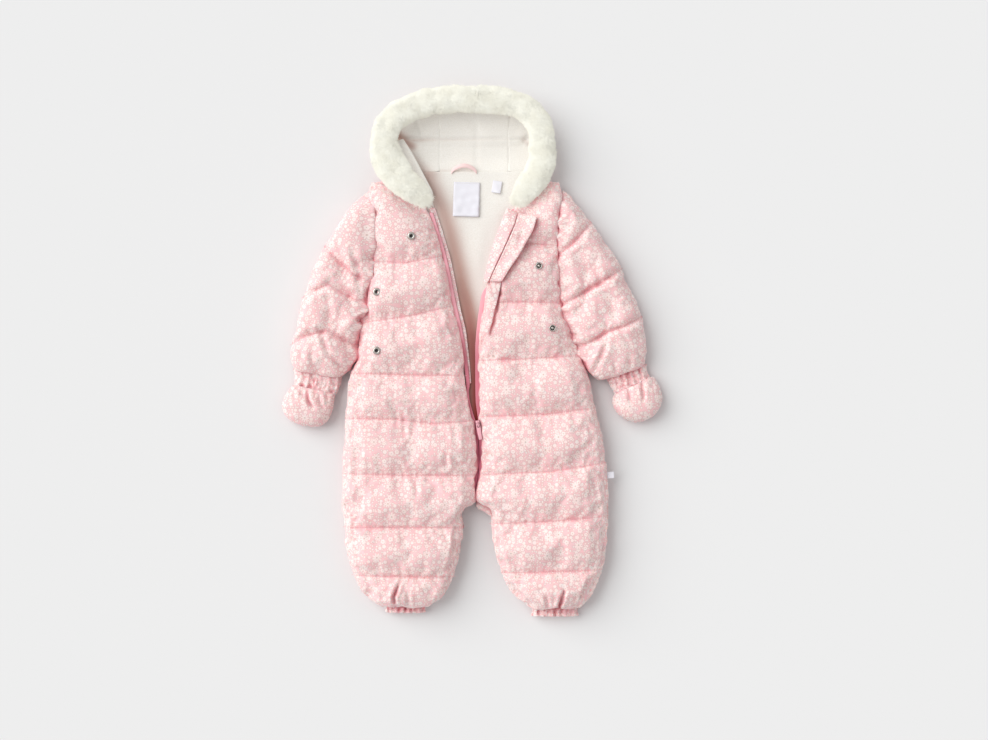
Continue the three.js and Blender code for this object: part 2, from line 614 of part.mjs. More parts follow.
// A flat piece laid over the left front, following it row by row.
function laidOn(grid, rows, columns, thickness) {
  const lower = rows.map((row) => {
    const points = [];
    for (let j = 0; j <= columns; j += 1) {
      const x = mix(row.innerX, row.outerX, j / columns);
      const y = mix(row.innerY, row.outerY, j / columns);
      points.push(new THREE.Vector3(x, y, frontHeight(grid, x, y, FLAP_REACH) + FLAP_CLEARANCE));
    }
    return points;
  });
  return wall(lower.map((row) => row.map((p) => raised(p, thickness))), lower);
}

addBackLining();
addHoodFacing();
addTape('zip_tape_right', rightFront, RIGHT_TAPE, 1);
addTape('zip_tape_left', leftFront, LEFT_TAPE, -1);
addZipFacingEdge();
addPiece('placket', laidOn(leftFront, PLACKET, 3, FLAP_THICKNESS), cloth(PRINT_PINK));
addPiece('placket_tail', laidOn(leftFront, PLACKET_TAIL, 2, FLAP_TAIL_THICKNESS), cloth(PRINT_PINK));

// Strip between the zip and the flap: it stands over the tape and reaches up to the flap's seam.
function addZipFacing() {
  const lower = ZIP_FACING.map((row) => [0, 0.5, 1].map((u) => {
    const x = mix(row.innerX, row.outerX, u);
    const y = mix(row.innerY, row.outerY, u);
    const seam = frontHeight(leftFront, row.outerX, row.outerY, FLAP_REACH) + FLAP_CLEARANCE;
    return new THREE.Vector3(x, y, Math.max(mix(21.5, seam, u), frontHeight(leftFront, x, y, 9) + 1));
  }));
  const upper = lower.map((row) => row.map((p) => raised(p, ZIP_FACING_THICKNESS)));
  addPiece('zip_facing', wall(upper, lower), cloth(PRINT_PINK));
}
addZipFacing();

// ---------------------------------------------------------------- slider and pull tab

const SLIDER = { x: 7.6, y: -91, under: 20.5, width: 8, length: 10, height: 3.6, yaw: 0.17 };
const BRIDGE = { half: 2.8, wallThickness: 1.2, height: 4.4, width: 1.6 };
const TAB = { width: 5.2, length: 19, thickness: 1.6, slotWidth: 2.8, slotLength: 4, bar: 0.8 };
const PIVOT_HEIGHT = SLIDER.under + SLIDER.height + 1.6;

const wasm = await Module();
wasm.setup();

function toManifold(geometry) {
  const bare = geometry.index ? geometry.clone() : mergeVertices(geometry);
  bare.deleteAttribute('normal');
  bare.deleteAttribute('uv');
  const merged = mergeVertices(bare);
  return new wasm.Manifold(new wasm.Mesh({
    numProp: 3,
    vertProperties: new Float32Array(merged.attributes.position.array),
    triVerts: new Uint32Array(merged.index.array),
  }));
}

function fromManifold(shape) {
  const mesh = shape.getMesh();
  const geometry = new THREE.BufferGeometry();
  geometry.setAttribute('position', new THREE.BufferAttribute(mesh.vertProperties, 3));
  geometry.setIndex(new THREE.BufferAttribute(mesh.triVerts, 1));
  return geometry;
}

// Outline of the slider body: wide shoulders where the two chains enter, narrow at the tail.
function sliderBody() {
  const outline = new THREE.Shape([
    new THREE.Vector2(-SLIDER.width / 2, SLIDER.length * 0.4),
    new THREE.Vector2(-SLIDER.width * 0.3, -SLIDER.length / 2),
    new THREE.Vector2(SLIDER.width * 0.3, -SLIDER.length / 2),
    new THREE.Vector2(SLIDER.width / 2, SLIDER.length * 0.4),
    new THREE.Vector2(SLIDER.width * 0.3, SLIDER.length / 2),
    new THREE.Vector2(-SLIDER.width * 0.3, SLIDER.length / 2),
  ]);
  return new THREE.ExtrudeGeometry(outline, { depth: SLIDER.height, bevelEnabled: false });
}

// The arch that holds the pull tab, along the slider.
function sliderBridge() {
  const inner = BRIDGE.half - BRIDGE.wallThickness;
  const high = BRIDGE.height;
  const arch = new THREE.Shape([
    new THREE.Vector2(-BRIDGE.half, -0.6), new THREE.Vector2(-inner, -0.6),
    new THREE.Vector2(-inner, high - 1.6), new THREE.Vector2(-inner + 0.5, high - 1.1),
    new THREE.Vector2(inner - 0.5, high - 1.1), new THREE.Vector2(inner, high - 1.6),
    new THREE.Vector2(inner, -0.6), new THREE.Vector2(BRIDGE.half, -0.6),
    new THREE.Vector2(BRIDGE.half, high - 1), new THREE.Vector2(BRIDGE.half - 1, high),
    new THREE.Vector2(-BRIDGE.half + 1, high), new THREE.Vector2(-BRIDGE.half, high - 1),
  ]);
  const geometry = new THREE.ExtrudeGeometry(arch, { depth: BRIDGE.width, bevelEnabled: false });
  geometry.translate(0, 0, -BRIDGE.width / 2);
  geometry.rotateX(Math.PI / 2);
  geometry.rotateZ(Math.PI / 2);
  geometry.translate(0, 0, SLIDER.height);
  return geometry;
}

function pullTab() {
  const half = TAB.width / 2;
  const round = 1.6;
  const outline = new THREE.Shape();
  outline.moveTo(-half, TAB.bar);
  outline.lineTo(-half, -TAB.length + round);
  outline.absarc(-half + round, -TAB.length + round, round, Math.PI, Math.PI * 1.5, false);
  outline.absarc(half - round, -TAB.length + round, round, Math.PI * 1.5, Math.PI * 2, false);
  outline.lineTo(half, TAB.bar);
  const slot = new THREE.Path([
    new THREE.Vector2(-TAB.slotWidth / 2, -TAB.bar), new THREE.Vector2(TAB.slotWidth / 2, -TAB.bar),
    new THREE.Vector2(TAB.slotWidth / 2, -TAB.bar - TAB.slotLength),
    new THREE.Vector2(-TAB.slotWidth / 2, -TAB.bar - TAB.slotLength),
  ]);
  outline.holes.push(slot);
  const geometry = new THREE.ExtrudeGeometry(outline, {
    depth: TAB.thickness, bevelEnabled: false, curveSegments: 4,
  });
  geometry.translate(0, 0, -TAB.thickness / 2);
  return geometry;
}

const slider = new THREE.Group();
slider.position.set(SLIDER.x, SLIDER.y, 0);
slider.rotation.z = SLIDER.yaw;
suit.add(slider);
const sliderShape = toManifold(sliderBody()).add(toManifold(sliderBridge()));
addPiece('zip_slider', fromManifold(sliderShape),
  new THREE.MeshStandardMaterial({ color: 0xd98fa0, roughness: 0.35, metalness: 0 }), slider)
  .position.z = SLIDER.under;
addPiece('zip_pull_tab', pullTab(),
  new THREE.MeshStandardMaterial({ color: 0xf0a3b2, roughness: 0.4, metalness: 0 }), slider)
  .position.z = PIVOT_HEIGHT;

// ---------------------------------------------------------------- loop, labels, tab, snaps

function box(name, centre, size, turn, colour) {
  const mesh = addPiece(name, new THREE.BoxGeometry(...size), cloth(colour));
  mesh.position.set(...centre);
  mesh.rotation.z = turn;
}

// The hang loop arches off the neck seam in a flat ribbon.
function addHangLoop() {
  const lining = BACK_TOP + SEAM_GAP + LINING + SEAM_GAP;
  const sections = [];
  for (let i = 0; i <= 12; i += 1) {
    const t = i / 12;
    const x = mix(-26, 6, t);
    const y = 224.5 + 8 * Math.sin(Math.PI * t) ** 0.7;
    const z = lining + 0.4 + 3.2 * Math.sin(Math.PI * t);
    const across = [[-2.6, 0], [2.6, 0], [2.6, 1.3], [-2.6, 1.3]];
    sections.push(across.map(([dy, dz]) => new THREE.Vector3(x, y + dy, z + dz)));
  }
  addPiece('hang_loop', bar(sections), cloth(0xf4b7bf, 0.8));
}
addHangLoop();
const ON_LINING = BACK_TOP + 2 * SEAM_GAP + LINING + 0.4;
box('neck_label', [-7, 190.5, ON_LINING + 0.2], [33, 43, 0.8], -0.03, 0xf4f1f6);
box('size_label', [31, 206, ON_LINING + 0.2], [11, 15, 0.8], -0.16, 0xefedf4);
box('side_tab', [174.8, -154.5, 17], [5.4, 8, 1.2], 0.08, 0xf7eeee);

// A snap: a rolled ring with a hollow middle for the sockets and a raised post for the studs.
function snapProfile(isSocket) {
  const middle = isSocket ? 0.9 : 2.9;
  return [
    new THREE.Vector2(0, 0), new THREE.Vector2(SNAP_RADIUS, 0), new THREE.Vector2(SNAP_RADIUS, 1),
    new THREE.Vector2(SNAP_RADIUS - 0.8, 1.9), new THREE.Vector2(SNAP_RADIUS - 2, 2),
    new THREE.Vector2(isSocket ? 2.3 : 1.9, isSocket ? 1.6 : 1.2),
    new THREE.Vector2(isSocket ? 2.1 : 1.7, middle), new THREE.Vector2(0, middle),
  ];
}

function addSnap(name, grid, [x, y], isSocket) {
  const geometry = new THREE.LatheGeometry(snapProfile(isSocket), 16);
  geometry.rotateX(Math.PI / 2);
  const metal = new THREE.MeshStandardMaterial({ color: 0xb9b4b2, roughness: 0.3, metalness: 1 });
  addPiece(name, geometry, metal).position.set(x, y, frontHeight(grid, x, y, 16) + 0.5);
}
SNAP_SOCKETS.forEach((place, i) => addSnap(`snap_socket_${i + 1}`, rightFront, place, true));
SNAP_STUDS.forEach((place, i) => addSnap(`snap_stud_${i + 1}`, leftFront, place, false));

export default suit;
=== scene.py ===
# %% [markdown]
# # A baby's padded snowsuit, laid out flat
# The suit lies on its back with the front zip open. Its construction comes from a finished model
# of plain solids, and this script gives each one its real surface: quilted printed cloth, fleece,
# imitation fur, zip, snaps and labels. Everything is in metres, with +Z towards the viewer and
# +Y towards the hood. "Right" and "left" are the wearer's own, so right is towards -X.

# %% Load the frame
import bpy
import json
import math
import numpy as np
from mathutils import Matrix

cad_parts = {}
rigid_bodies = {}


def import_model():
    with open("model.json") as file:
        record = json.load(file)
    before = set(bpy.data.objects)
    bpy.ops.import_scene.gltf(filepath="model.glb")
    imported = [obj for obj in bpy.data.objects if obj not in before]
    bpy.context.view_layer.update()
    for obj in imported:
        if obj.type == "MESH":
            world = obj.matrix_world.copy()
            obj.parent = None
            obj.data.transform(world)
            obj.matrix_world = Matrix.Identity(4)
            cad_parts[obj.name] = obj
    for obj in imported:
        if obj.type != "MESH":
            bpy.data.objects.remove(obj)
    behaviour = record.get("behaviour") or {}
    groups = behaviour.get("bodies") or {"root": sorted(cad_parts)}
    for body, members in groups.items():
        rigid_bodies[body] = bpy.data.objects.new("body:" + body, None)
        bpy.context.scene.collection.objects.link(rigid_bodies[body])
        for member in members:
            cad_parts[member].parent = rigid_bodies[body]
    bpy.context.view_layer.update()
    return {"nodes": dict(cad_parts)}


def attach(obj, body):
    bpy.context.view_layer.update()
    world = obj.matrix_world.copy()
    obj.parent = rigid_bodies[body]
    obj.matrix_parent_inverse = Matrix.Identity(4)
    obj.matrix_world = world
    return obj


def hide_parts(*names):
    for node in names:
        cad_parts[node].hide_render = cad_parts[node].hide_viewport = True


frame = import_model()
nodes = frame["nodes"]
MM = 0.001

# %% [markdown]
# ## Camera, light and floor
# A laid-out garment is seen from straight above. The lens is long, so that the sides of the suit
# hardly show. One soft sun from the upper left gives the shadow on the lower right, and a bright
# world fills the rest, as white studio walls do. A sun lights the whole floor evenly.

# %% Camera
CAMERA_HEIGHT = 2.5
FRAME_WIDTH = 1.235
SUIT_HEIGHT = 0.02
SENSOR = 36

camera_data = bpy.data.cameras.new("studio_camera")
camera_data.sensor_width = SENSOR
camera_data.lens = SENSOR * (CAMERA_HEIGHT - SUIT_HEIGHT) / FRAME_WIDTH
camera = bpy.data.objects.new("studio_camera", camera_data)
camera.location = (27.5 * MM, -23 * MM, CAMERA_HEIGHT)
bpy.context.scene.collection.objects.link(camera)
bpy.context.scene.camera = camera
print("lens", round(camera_data.lens, 1), "mm")

# %% Colour from hex
def colour(hex_value):
    """An sRGB hex colour, turned to the linear values that a shader takes."""
    channels = [((hex_value >> shift) & 255) / 255 for shift in (16, 8, 0)]
    linear = [c / 12.92 if c <= 0.04045 else ((c + 0.055) / 1.055) ** 2.4 for c in channels]
    return (*linear, 1)

# %% Light and floor
SUN_STRENGTH = 2.35
WORLD_STRENGTH = 0.58

scene = bpy.context.scene
scene.view_settings.view_transform = "Standard"
world = bpy.data.worlds.new("studio_white")
world.use_nodes = True
world.node_tree.nodes["Background"].inputs["Color"].default_value = colour(0xFFFFFF)
world.node_tree.nodes["Background"].inputs["Strength"].default_value = WORLD_STRENGTH
scene.world = world

sun_data = bpy.data.lights.new("soft_sun", "SUN")
sun_data.energy = SUN_STRENGTH
sun_data.angle = math.radians(58)
sun = bpy.data.objects.new("soft_sun", sun_data)
sun.rotation_euler = (math.radians(-20), math.radians(-47), 0)
scene.collection.objects.link(sun)

bpy.ops.object.select_all(action="DESELECT")
bpy.ops.mesh.primitive_plane_add(size=12, location=(0, 0, -0.0006))
floor = bpy.context.object
floor.name = "studio_floor"
floor_paint = bpy.data.materials.new("matt_white_board")
floor_paint.use_nodes = True
floor_paint.node_tree.nodes["Principled BSDF"].inputs["Base Color"].default_value = colour(0xE8E8E8)
floor_paint.node_tree.nodes["Principled BSDF"].inputs["Roughness"].default_value = 1
floor_paint.node_tree.nodes["Principled BSDF"].inputs["Specular IOR Level"].default_value = 0
floor.data.materials.append(floor_paint)

# %% [markdown]
# ## Materials
# Every finish is made of nodes. One helper adds a node with its settings and links, so that each
# recipe reads from top to bottom. Patterns are sized in real millimetres.

# %% Node helper
def add_node(tree, kind, settings=None, inputs=None):
    """Adds a node; an input is a value, or an output socket to link."""
    node = tree.nodes.new(kind)
    for key, value in (settings or {}).items():
        setattr(node, key, value)
    for key, value in (inputs or {}).items():
        if isinstance(value, bpy.types.NodeSocket):
            tree.links.new(value, node.inputs[key])
        else:
            node.inputs[key].default_value = value
    return node


def new_material(name, base_hex, roughness, **sockets):
    """A principled material and its shader node."""
    material = bpy.data.materials.new(name)
    material.use_nodes = True
    shader = material.node_tree.nodes["Principled BSDF"]
    shader.inputs["Base Color"].default_value = colour(base_hex)
    shader.inputs["Roughness"].default_value = roughness
    for key, value in sockets.items():
        shader.inputs[key.replace("_", " ")].default_value = value
    return material, material.node_tree, shader


def math_node(tree, operation, *values):
    """The output of a Math node on one to three values or sockets."""
    return add_node(tree, "ShaderNodeMath", {"operation": operation}, dict(enumerate(values))).outputs[0]


def ramp(tree, value, low, high):
    """0 below low and 1 above high, smoothly; low may be above high."""
    return add_node(
        tree, "ShaderNodeMapRange", {"interpolation_type": "SMOOTHSTEP"},
        {"Value": value, "From Min": low, "From Max": high},
    ).outputs["Result"]


def blend_colour(tree, factor, first, second):
    """A colour between two, each a hex value or a socket."""
    pick = lambda c: colour(c) if isinstance(c, int) else c
    node = add_node(tree, "ShaderNodeMix", {"data_type": "RGBA"})
    for index, value in ((0, factor), (6, pick(first)), (7, pick(second))):
        if isinstance(value, bpy.types.NodeSocket):
            tree.links.new(value, node.inputs[index])
        else:
            node.inputs[index].default_value = value
    return node.outputs[2]

# %% [markdown]
# ### Printed shell cloth
# The shell is a light, matt woven polyester with a small all-over print: daisies, five-petalled
# blossoms and tiny buds in off-white on pink, thinly outlined in grey. A printed cloth could use
# an image, but cells worked out by a Voronoi texture need none: every cell holds one flower, and
# the angle and distance from the cell's point draw its petals. The pattern reads the cloth's own
# map, so it follows the surface round the sides of each panel.

# %% Flower layers
def flower_layer(tree, cloth_mm, cell, radius, petals, notch, point, share, shift):
    """Masks for one kind of flower, all in mm: petals, outline and centre."""
    moved = add_node(tree, "ShaderNodeVectorMath", {"operation": "ADD"},
                     {0: cloth_mm, 1: (shift, shift * 0.37, 0)}).outputs[0]
    cells = add_node(tree, "ShaderNodeTexVoronoi", {"voronoi_dimensions": "2D"},
                     {"Vector": moved, "Scale": 1 / cell, "Randomness": 0.7})
    away = add_node(tree, "ShaderNodeVectorMath", {"operation": "SUBTRACT"},
                    {0: moved, 1: cells.outputs["Position"]}).outputs[0]
    parts = add_node(tree, "ShaderNodeSeparateXYZ", inputs={0: away})
    chance = add_node(tree, "ShaderNodeSeparateColor", inputs={0: cells.outputs["Color"]})
    reach = add_node(tree, "ShaderNodeVectorMath", {"operation": "LENGTH"}, {0: away}).outputs["Value"]
    turn = math_node(tree, "MULTIPLY", chance.outputs[1], math.tau)
    angle = math_node(tree, "ADD", math_node(tree, "ARCTAN2", parts.outputs[1], parts.outputs[0]), turn)
    turns = math_node(tree, "MULTIPLY", angle, petals / 2)
    wave = math_node(tree, "ABSOLUTE", math_node(tree, "COSINE", turns))
    petal = math_node(tree, "POWER", wave, point)
    grown = math_node(tree, "MULTIPLY_ADD", chance.outputs[2], 0.3, 0.85)
    edge = math_node(tree, "MULTIPLY",
                     math_node(tree, "MULTIPLY_ADD", petal, radius * notch, radius * (1 - notch)),
                     grown)
    inside = math_node(tree, "SUBTRACT", edge, reach)
    # Blossoms stand in loose clusters, so how many are kept changes over the cloth.
    cluster = add_node(tree, "ShaderNodeTexNoise",
                       inputs={"Vector": cells.outputs["Position"], "Scale": 0.045})
    kept = math_node(tree, "MULTIPLY_ADD", ramp(tree, cluster.outputs[0], 0.38, 0.62), 0.55, share - 0.28)
    present = math_node(tree, "LESS_THAN", chance.outputs[0], kept)
    flower = math_node(tree, "MULTIPLY", ramp(tree, inside, -0.1, 0.5), present)
    around = math_node(tree, "MULTIPLY", ramp(tree, inside, -0.8, -0.2), present)
    centre = math_node(tree, "MULTIPLY", ramp(tree, reach, radius * 0.26, radius * 0.12), present)
    return flower, around, centre

# %% Printed shell
PINK = 0xF8D0D1
PINK_DEEP = 0xF5C6C8
PETAL_WHITE = 0xFBE5E1
OUTLINE = 0xE6C2C0
FLOWER_CENTRE = 0xDCC4BC
# The last colour is painted shade for creases; the colours above are the print's own.
CREASE_SHADE_PINK = 0xDC7F8B
FLOWERS = (
    # cell, radius, petals, notch, point, share, shift
    (3.5, 1.25, 5, 0.12, 0.6, 0.86, 11.3),
    (6.6, 2.45, 5, 0.16, 0.6, 0.52, 3.1),
    (9.0, 3.1, 5, 0.26, 0.6, 0.42, 57.7),
    (21.0, 5.6, 8, 0.62, 1.1, 0.8, 83.9),
)


def make_shell():
    material, tree, shader = new_material("printed_polyester_shell", PINK, 0.78)
    shader.inputs["Sheen Weight"].default_value = 0.2
    shader.inputs["Sheen Roughness"].default_value = 0.5
    shader.inputs["Specular IOR Level"].default_value = 0.25
    # Light spreads through the thin cloth and its wadding, so shades stay soft and pink.
    shader.inputs["Subsurface Weight"].default_value = 0.4
    shader.inputs["Subsurface Radius"].default_value = (1, 0.5, 0.45)
    shader.inputs["Subsurface Scale"].default_value = 5 * MM
    cloth_map = add_node(tree, "ShaderNodeUVMap", {"uv_map": "cloth"}).outputs[0]
    cloth_mm = add_node(tree, "ShaderNodeVectorMath", {"operation": "SCALE"},
                        {0: cloth_map, "Scale": 1000}).outputs[0]
    tint = add_node(tree, "ShaderNodeTexNoise", inputs={"Vector": cloth_mm, "Scale": 0.03, "Detail": 3})
    print_colour = blend_colour(tree, tint.outputs[0], PINK, PINK_DEEP)
    for layer in FLOWERS:
        flower, around, centre = flower_layer(tree, cloth_mm, *layer)
        print_colour = blend_colour(tree, around, print_colour, OUTLINE)
        print_colour = blend_colour(tree, flower, print_colour, PETAL_WHITE)
        if layer[1] > 3:
            print_colour = blend_colour(tree, centre, print_colour, FLOWER_CENTRE)
    # In creases the light bounces from pink to pink, so the cloth looks deeper there: this is
    # painted shade, laid on where ambient occlusion finds a crease.
    crevice = add_node(tree, "ShaderNodeAmbientOcclusion", {"samples": 6},
                       {"Distance": 11 * MM}).outputs["AO"]
    deep = math_node(tree, "MULTIPLY", ramp(tree, crevice, 0.9, 0.3), 0.8)
    print_colour = blend_colour(tree, deep, print_colour, CREASE_SHADE_PINK)
    tree.links.new(print_colour, shader.inputs["Base Color"])
    # Threads of such cloth are typically about 0.3 mm apart: drawn twice as coarse, so that they show.
    weave = add_node(tree, "ShaderNodeTexNoise", inputs={"Vector": cloth_mm, "Scale": 1.6, "Detail": 2})
    crinkle = add_node(tree, "ShaderNodeTexNoise",
                       inputs={"Vector": cloth_mm, "Scale": 0.16, "Detail": 4, "Roughness": 0.6})
    height = math_node(tree, "MULTIPLY_ADD", weave.outputs[0], 0.08, crinkle.outputs[0])
    bump = add_node(tree, "ShaderNodeBump", inputs={"Strength": 0.26, "Distance": 1.6 * MM, "Height": height})
    tree.links.new(bump.outputs[0], shader.inputs["Normal"])
    return material


shell = make_shell()
print("shell nodes:", len(shell.node_tree.nodes))

# %% [markdown]
# ### Fleece, fur, tape, enamel and metal
# Fleece and fur are pale fibres: high roughness with some sheen, and light that passes a little
# way in. The zip tape is a tight twill, the slider and pull tab are enamelled zinc, and the snaps
# are nickel-plated.

# %% Plain finishes
def bump_with(tree, shader, scale, strength, distance_mm, detail=3, coordinates="Object"):
    place = add_node(tree, "ShaderNodeTexCoord").outputs[coordinates]
    noise = add_node(tree, "ShaderNodeTexNoise", inputs={"Vector": place, "Scale": scale, "Detail": detail})
    bump = add_node(tree, "ShaderNodeBump",
                    inputs={"Strength": strength, "Distance": distance_mm * MM, "Height": noise.outputs[0]})
    tree.links.new(bump.outputs[0], shader.inputs["Normal"])
    return noise


def paint_shade_in_gaps(tree, shader, open_hex, painted_gap_hex, distance_mm):
    """Painted reflection and shade: small shiny parts mirror each other in their gaps, so the colour is
    painted darker where little sky is seen.
    """
    sky = add_node(tree, "ShaderNodeAmbientOcclusion", {"samples": 6},
                   {"Distance": distance_mm * MM}).outputs["AO"]
    colour = blend_colour(tree, ramp(tree, sky, 0.85, 0.35), open_hex, painted_gap_hex)
    tree.links.new(colour, shader.inputs["Base Color"])


def make_fleece():
    """Off-white, with painted shade from a point attribute: warmer at 1, as in a fold, and deep red at 2, as
    in the slit.
    """
    material, tree, shader = new_material("brushed_fleece", 0xF6F3EC, 1.0, Sheen_Weight=0.4)
    noise = bump_with(tree, shader, 900, 0.35, 0.8, 4)
    shade = blend_colour(tree, ramp(tree, noise.outputs[0], 0.3, 0.65), 0xECE8E0, 0xF3F0EA)
    painted_shade = add_node(tree, "ShaderNodeAttribute", {"attribute_name": "painted_shade"}).outputs["Fac"]
    # Painted shade: warm beige stands for the dim light in folds, deep red for the dark of the slit.
    shade = blend_colour(tree, painted_shade, shade, 0xB8958A)
    shade = blend_colour(tree, math_node(tree, "SUBTRACT", painted_shade, 1), shade, 0x861E1C)
    tree.links.new(shade, shader.inputs["Base Color"])
    return material


def make_fur(name, root_hex, tip_hex):
    material, tree, shader = new_material(name, tip_hex, 0.9, Sheen_Weight=0.4)
    shader.inputs["Specular IOR Level"].default_value = 0.2
    place = add_node(tree, "ShaderNodeTexCoord").outputs["Object"]
    patches = add_node(tree, "ShaderNodeTexNoise", inputs={"Vector": place, "Scale": 70, "Detail": 3})
    shade = blend_colour(tree, ramp(tree, patches.outputs[0], 0.3, 0.7), root_hex, tip_hex)
    tree.links.new(shade, shader.inputs["Base Color"])
    # Light goes through single hairs, so part of it leaves on the far side.
    through = add_node(tree, "ShaderNodeBsdfTranslucent", inputs={"Color": shade})
    both = add_node(tree, "ShaderNodeMixShader",
                    inputs={"Fac": 0.15, 1: shader.outputs[0], 2: through.outputs[0]})
    tree.links.new(both.outputs[0], tree.nodes["Material Output"].inputs["Surface"])
    return material


fleece = make_fleece()
fur = make_fur("ivory_pile", 0xEFEDE0, 0xF6F5EA)
fur_ground = make_fur("pile_backing", 0xEBE8DA, 0xF4F2E6)
tape_cloth, tape_tree, tape_shader = new_material("twill_zip_tape", 0xF6ACB9, 0.7, Sheen_Weight=0.2)
bump_with(tape_tree, tape_shader, 900, 0.4, 0.4)
# Towards the slider the slit narrows, and light reaches the tape by way of the pink cloth only:
# the deeper pinks low down are painted shade, strongest where the zip is closed.
tape_place = add_node(tape_tree, "ShaderNodeSeparateXYZ", inputs={
    0: add_node(tape_tree, "ShaderNodeTexCoord").outputs["Object"]})
slit_shade = ramp(tape_tree, tape_place.outputs[1], 0.06, -0.03)
closed = ramp(tape_tree, tape_place.outputs[1], -0.08, -0.1)
tape_colour = blend_colour(tape_tree, slit_shade, 0xF6B2BD, 0xD07A8A)
tape_tree.links.new(blend_colour(tape_tree, closed, tape_colour, 0xCF7288), tape_shader.inputs["Base Color"])
# The dark gap colours of the enamel and the nickel are painted reflection and shade.
enamel, enamel_tree, enamel_shader = new_material("enamelled_zinc", 0xF0B4BE, 0.25)
paint_shade_in_gaps(enamel_tree, enamel_shader, 0xF0B4BE, 0x6E2A38, 5)
bump_with(enamel_tree, enamel_shader, 120, 0.05, 0.3)
nickel, nickel_tree, nickel_shader = new_material("nickel_plate", 0xC6C1BB, 0.3, Metallic=1.0)
paint_shade_in_gaps(nickel_tree, nickel_shader, 0xC6C1BB, 0x4A4542, 3)
bump_with(nickel_tree, nickel_shader, 500, 0.08, 0.1)
# Partly the socket spring's own dark steel, partly painted shade in the hollow.
spring_steel = new_material("spring_steel_in_painted_hollow_shade", 0x1E1A19, 0.6)[0]
satin, satin_tree, satin_shader = new_material("woven_satin_label", 0xEBEAF1, 0.5, Sheen_Weight=0.2)
bump_with(satin_tree, satin_shader, 1200, 0.3, 0.2)
ribbon, ribbon_tree, ribbon_shader = new_material("satin_ribbon", 0xFADAD8, 0.45, Sheen_Weight=0.3)
bump_with(ribbon_tree, ribbon_shader, 1200, 0.3, 0.2)

# %% [markdown]
# ## Helpers for soft pieces
# A padded piece starts from a copy of its plain solid, remeshed into even squares. From there
# on its points are moved in code or by the cloth simulation. These helpers read and write all
# points at once.

# %% Copies and points
def select_only(*objects):
    bpy.ops.object.select_all(action="DESELECT")
    for one in objects:
        one.select_set(True)
    bpy.context.view_layer.objects.active = objects[-1]


def copy_of(name, *node_names):
    """A new object with the merged surface of some CAD nodes."""
    copies = []
    for node_name in node_names:
        one = bpy.data.objects.new(name, nodes[node_name].data.copy())
        one.data.materials.clear()
        scene.collection.objects.link(one)
        copies.append(one)
    select_only(*copies)
    if len(copies) > 1:
        bpy.ops.object.join()
    piece = bpy.context.object
    piece.name = name
    bpy.ops.object.mode_set(mode="EDIT")
    bpy.ops.mesh.select_all(action="SELECT")
    bpy.ops.mesh.remove_doubles(threshold=1e-5)
    bpy.ops.object.mode_set(mode="OBJECT")
    return piece


def points_of(piece):
    values = np.empty(len(piece.data.vertices) * 3)
    piece.data.vertices.foreach_get("co", values)
    return values.reshape(-1, 3)


def normals_of(piece):
    values = np.empty(len(piece.data.vertices) * 3)
    piece.data.vertices.foreach_get("normal", values)
    return values.reshape(-1, 3)


def keep_above_floor(points):
    """Lifts any point that has sunk under the floor back onto it."""
    points[:, 2] = np.maximum(points[:, 2], 0)


def move_points(piece, values):
    piece.data.vertices.foreach_set("co", np.ascontiguousarray(values).ravel())
    piece.data.update()


def apply_modifier(piece, kind, **settings):
    select_only(piece)
    bpy.ops.object.modifier_add(type=kind)
    modifier = piece.modifiers[-1]
    for key, value in settings.items():
        setattr(modifier, key, value)
    bpy.ops.object.modifier_apply(modifier=modifier.name)


def remeshed(name, node_names, voxel, smoothing):
    """An even mesh over some CAD nodes, with their facets smoothed away."""
    piece = copy_of(name, *node_names)
    apply_modifier(piece, "REMESH", mode="VOXEL", voxel_size=voxel * MM)
    apply_modifier(piece, "SMOOTH", factor=0.5, iterations=smoothing)
    return piece

# %% Distances to sewn lines
def line_distance(points, line):
    """How far each point is from a line of (x, y) in mm, and how far along it, 0 to 1."""
    flat = points[:, :2] / MM
    corners = np.array(line, float)
    lengths = np.linalg.norm(np.diff(corners, axis=0), axis=1)
    best = np.full(len(flat), 1e9)
    along = np.zeros(len(flat))
    for k, start in enumerate(corners[:-1]):
        step = corners[k + 1] - start
        t = np.clip(((flat - start) @ step) / (step @ step), 0, 1)
        away = np.linalg.norm(flat - start - t[:, None] * step, axis=1)
        closer = away < best
        best = np.where(closer, away, best)
        along = np.where(closer, (lengths[:k].sum() + t * lengths[k]) / lengths.sum(), along)
    return best, along


def soft_noise(points, size, seed):
    """A smooth random value from -1 to 1 for each point, with waves of about size mm."""
    draw = np.random.default_rng(seed)
    total = np.zeros(len(points))
    for _ in range(7):
        direction = draw.normal(size=2)
        direction /= np.linalg.norm(direction)
        wave = math.tau / (size * MM * draw.uniform(0.7, 1.4))
        total += np.sin(points[:, :2] @ direction * wave + draw.uniform(0, math.tau))
    return total / 3.2

# %% [markdown]
# ## Quilted panels
# Each panel is two layers of cloth with wadding between them, sewn together along quilting lines.
# The filling pushes the cloth out between the lines, and the sewing pulls it up, so the cloth
# puckers beside each seam. Bevelled strips would look like a mattress of tubes; instead the sewn
# lines are pinned, the cloth is allowed to grow a little, and pressure blows it up: the surplus
# gathers in puckers where it really does.

# %% Swell the cloth between pinned points
def pin(piece, held):
    """Writes how firmly each point is held, 0 to 1, to a vertex group."""
    group = piece.vertex_groups.new(name="sewn")
    levels = np.round(np.clip(held, 0, 1) * 10).astype(int)
    for level in range(1, 11):
        group.add(np.flatnonzero(levels == level).tolist(), level / 10, "REPLACE")


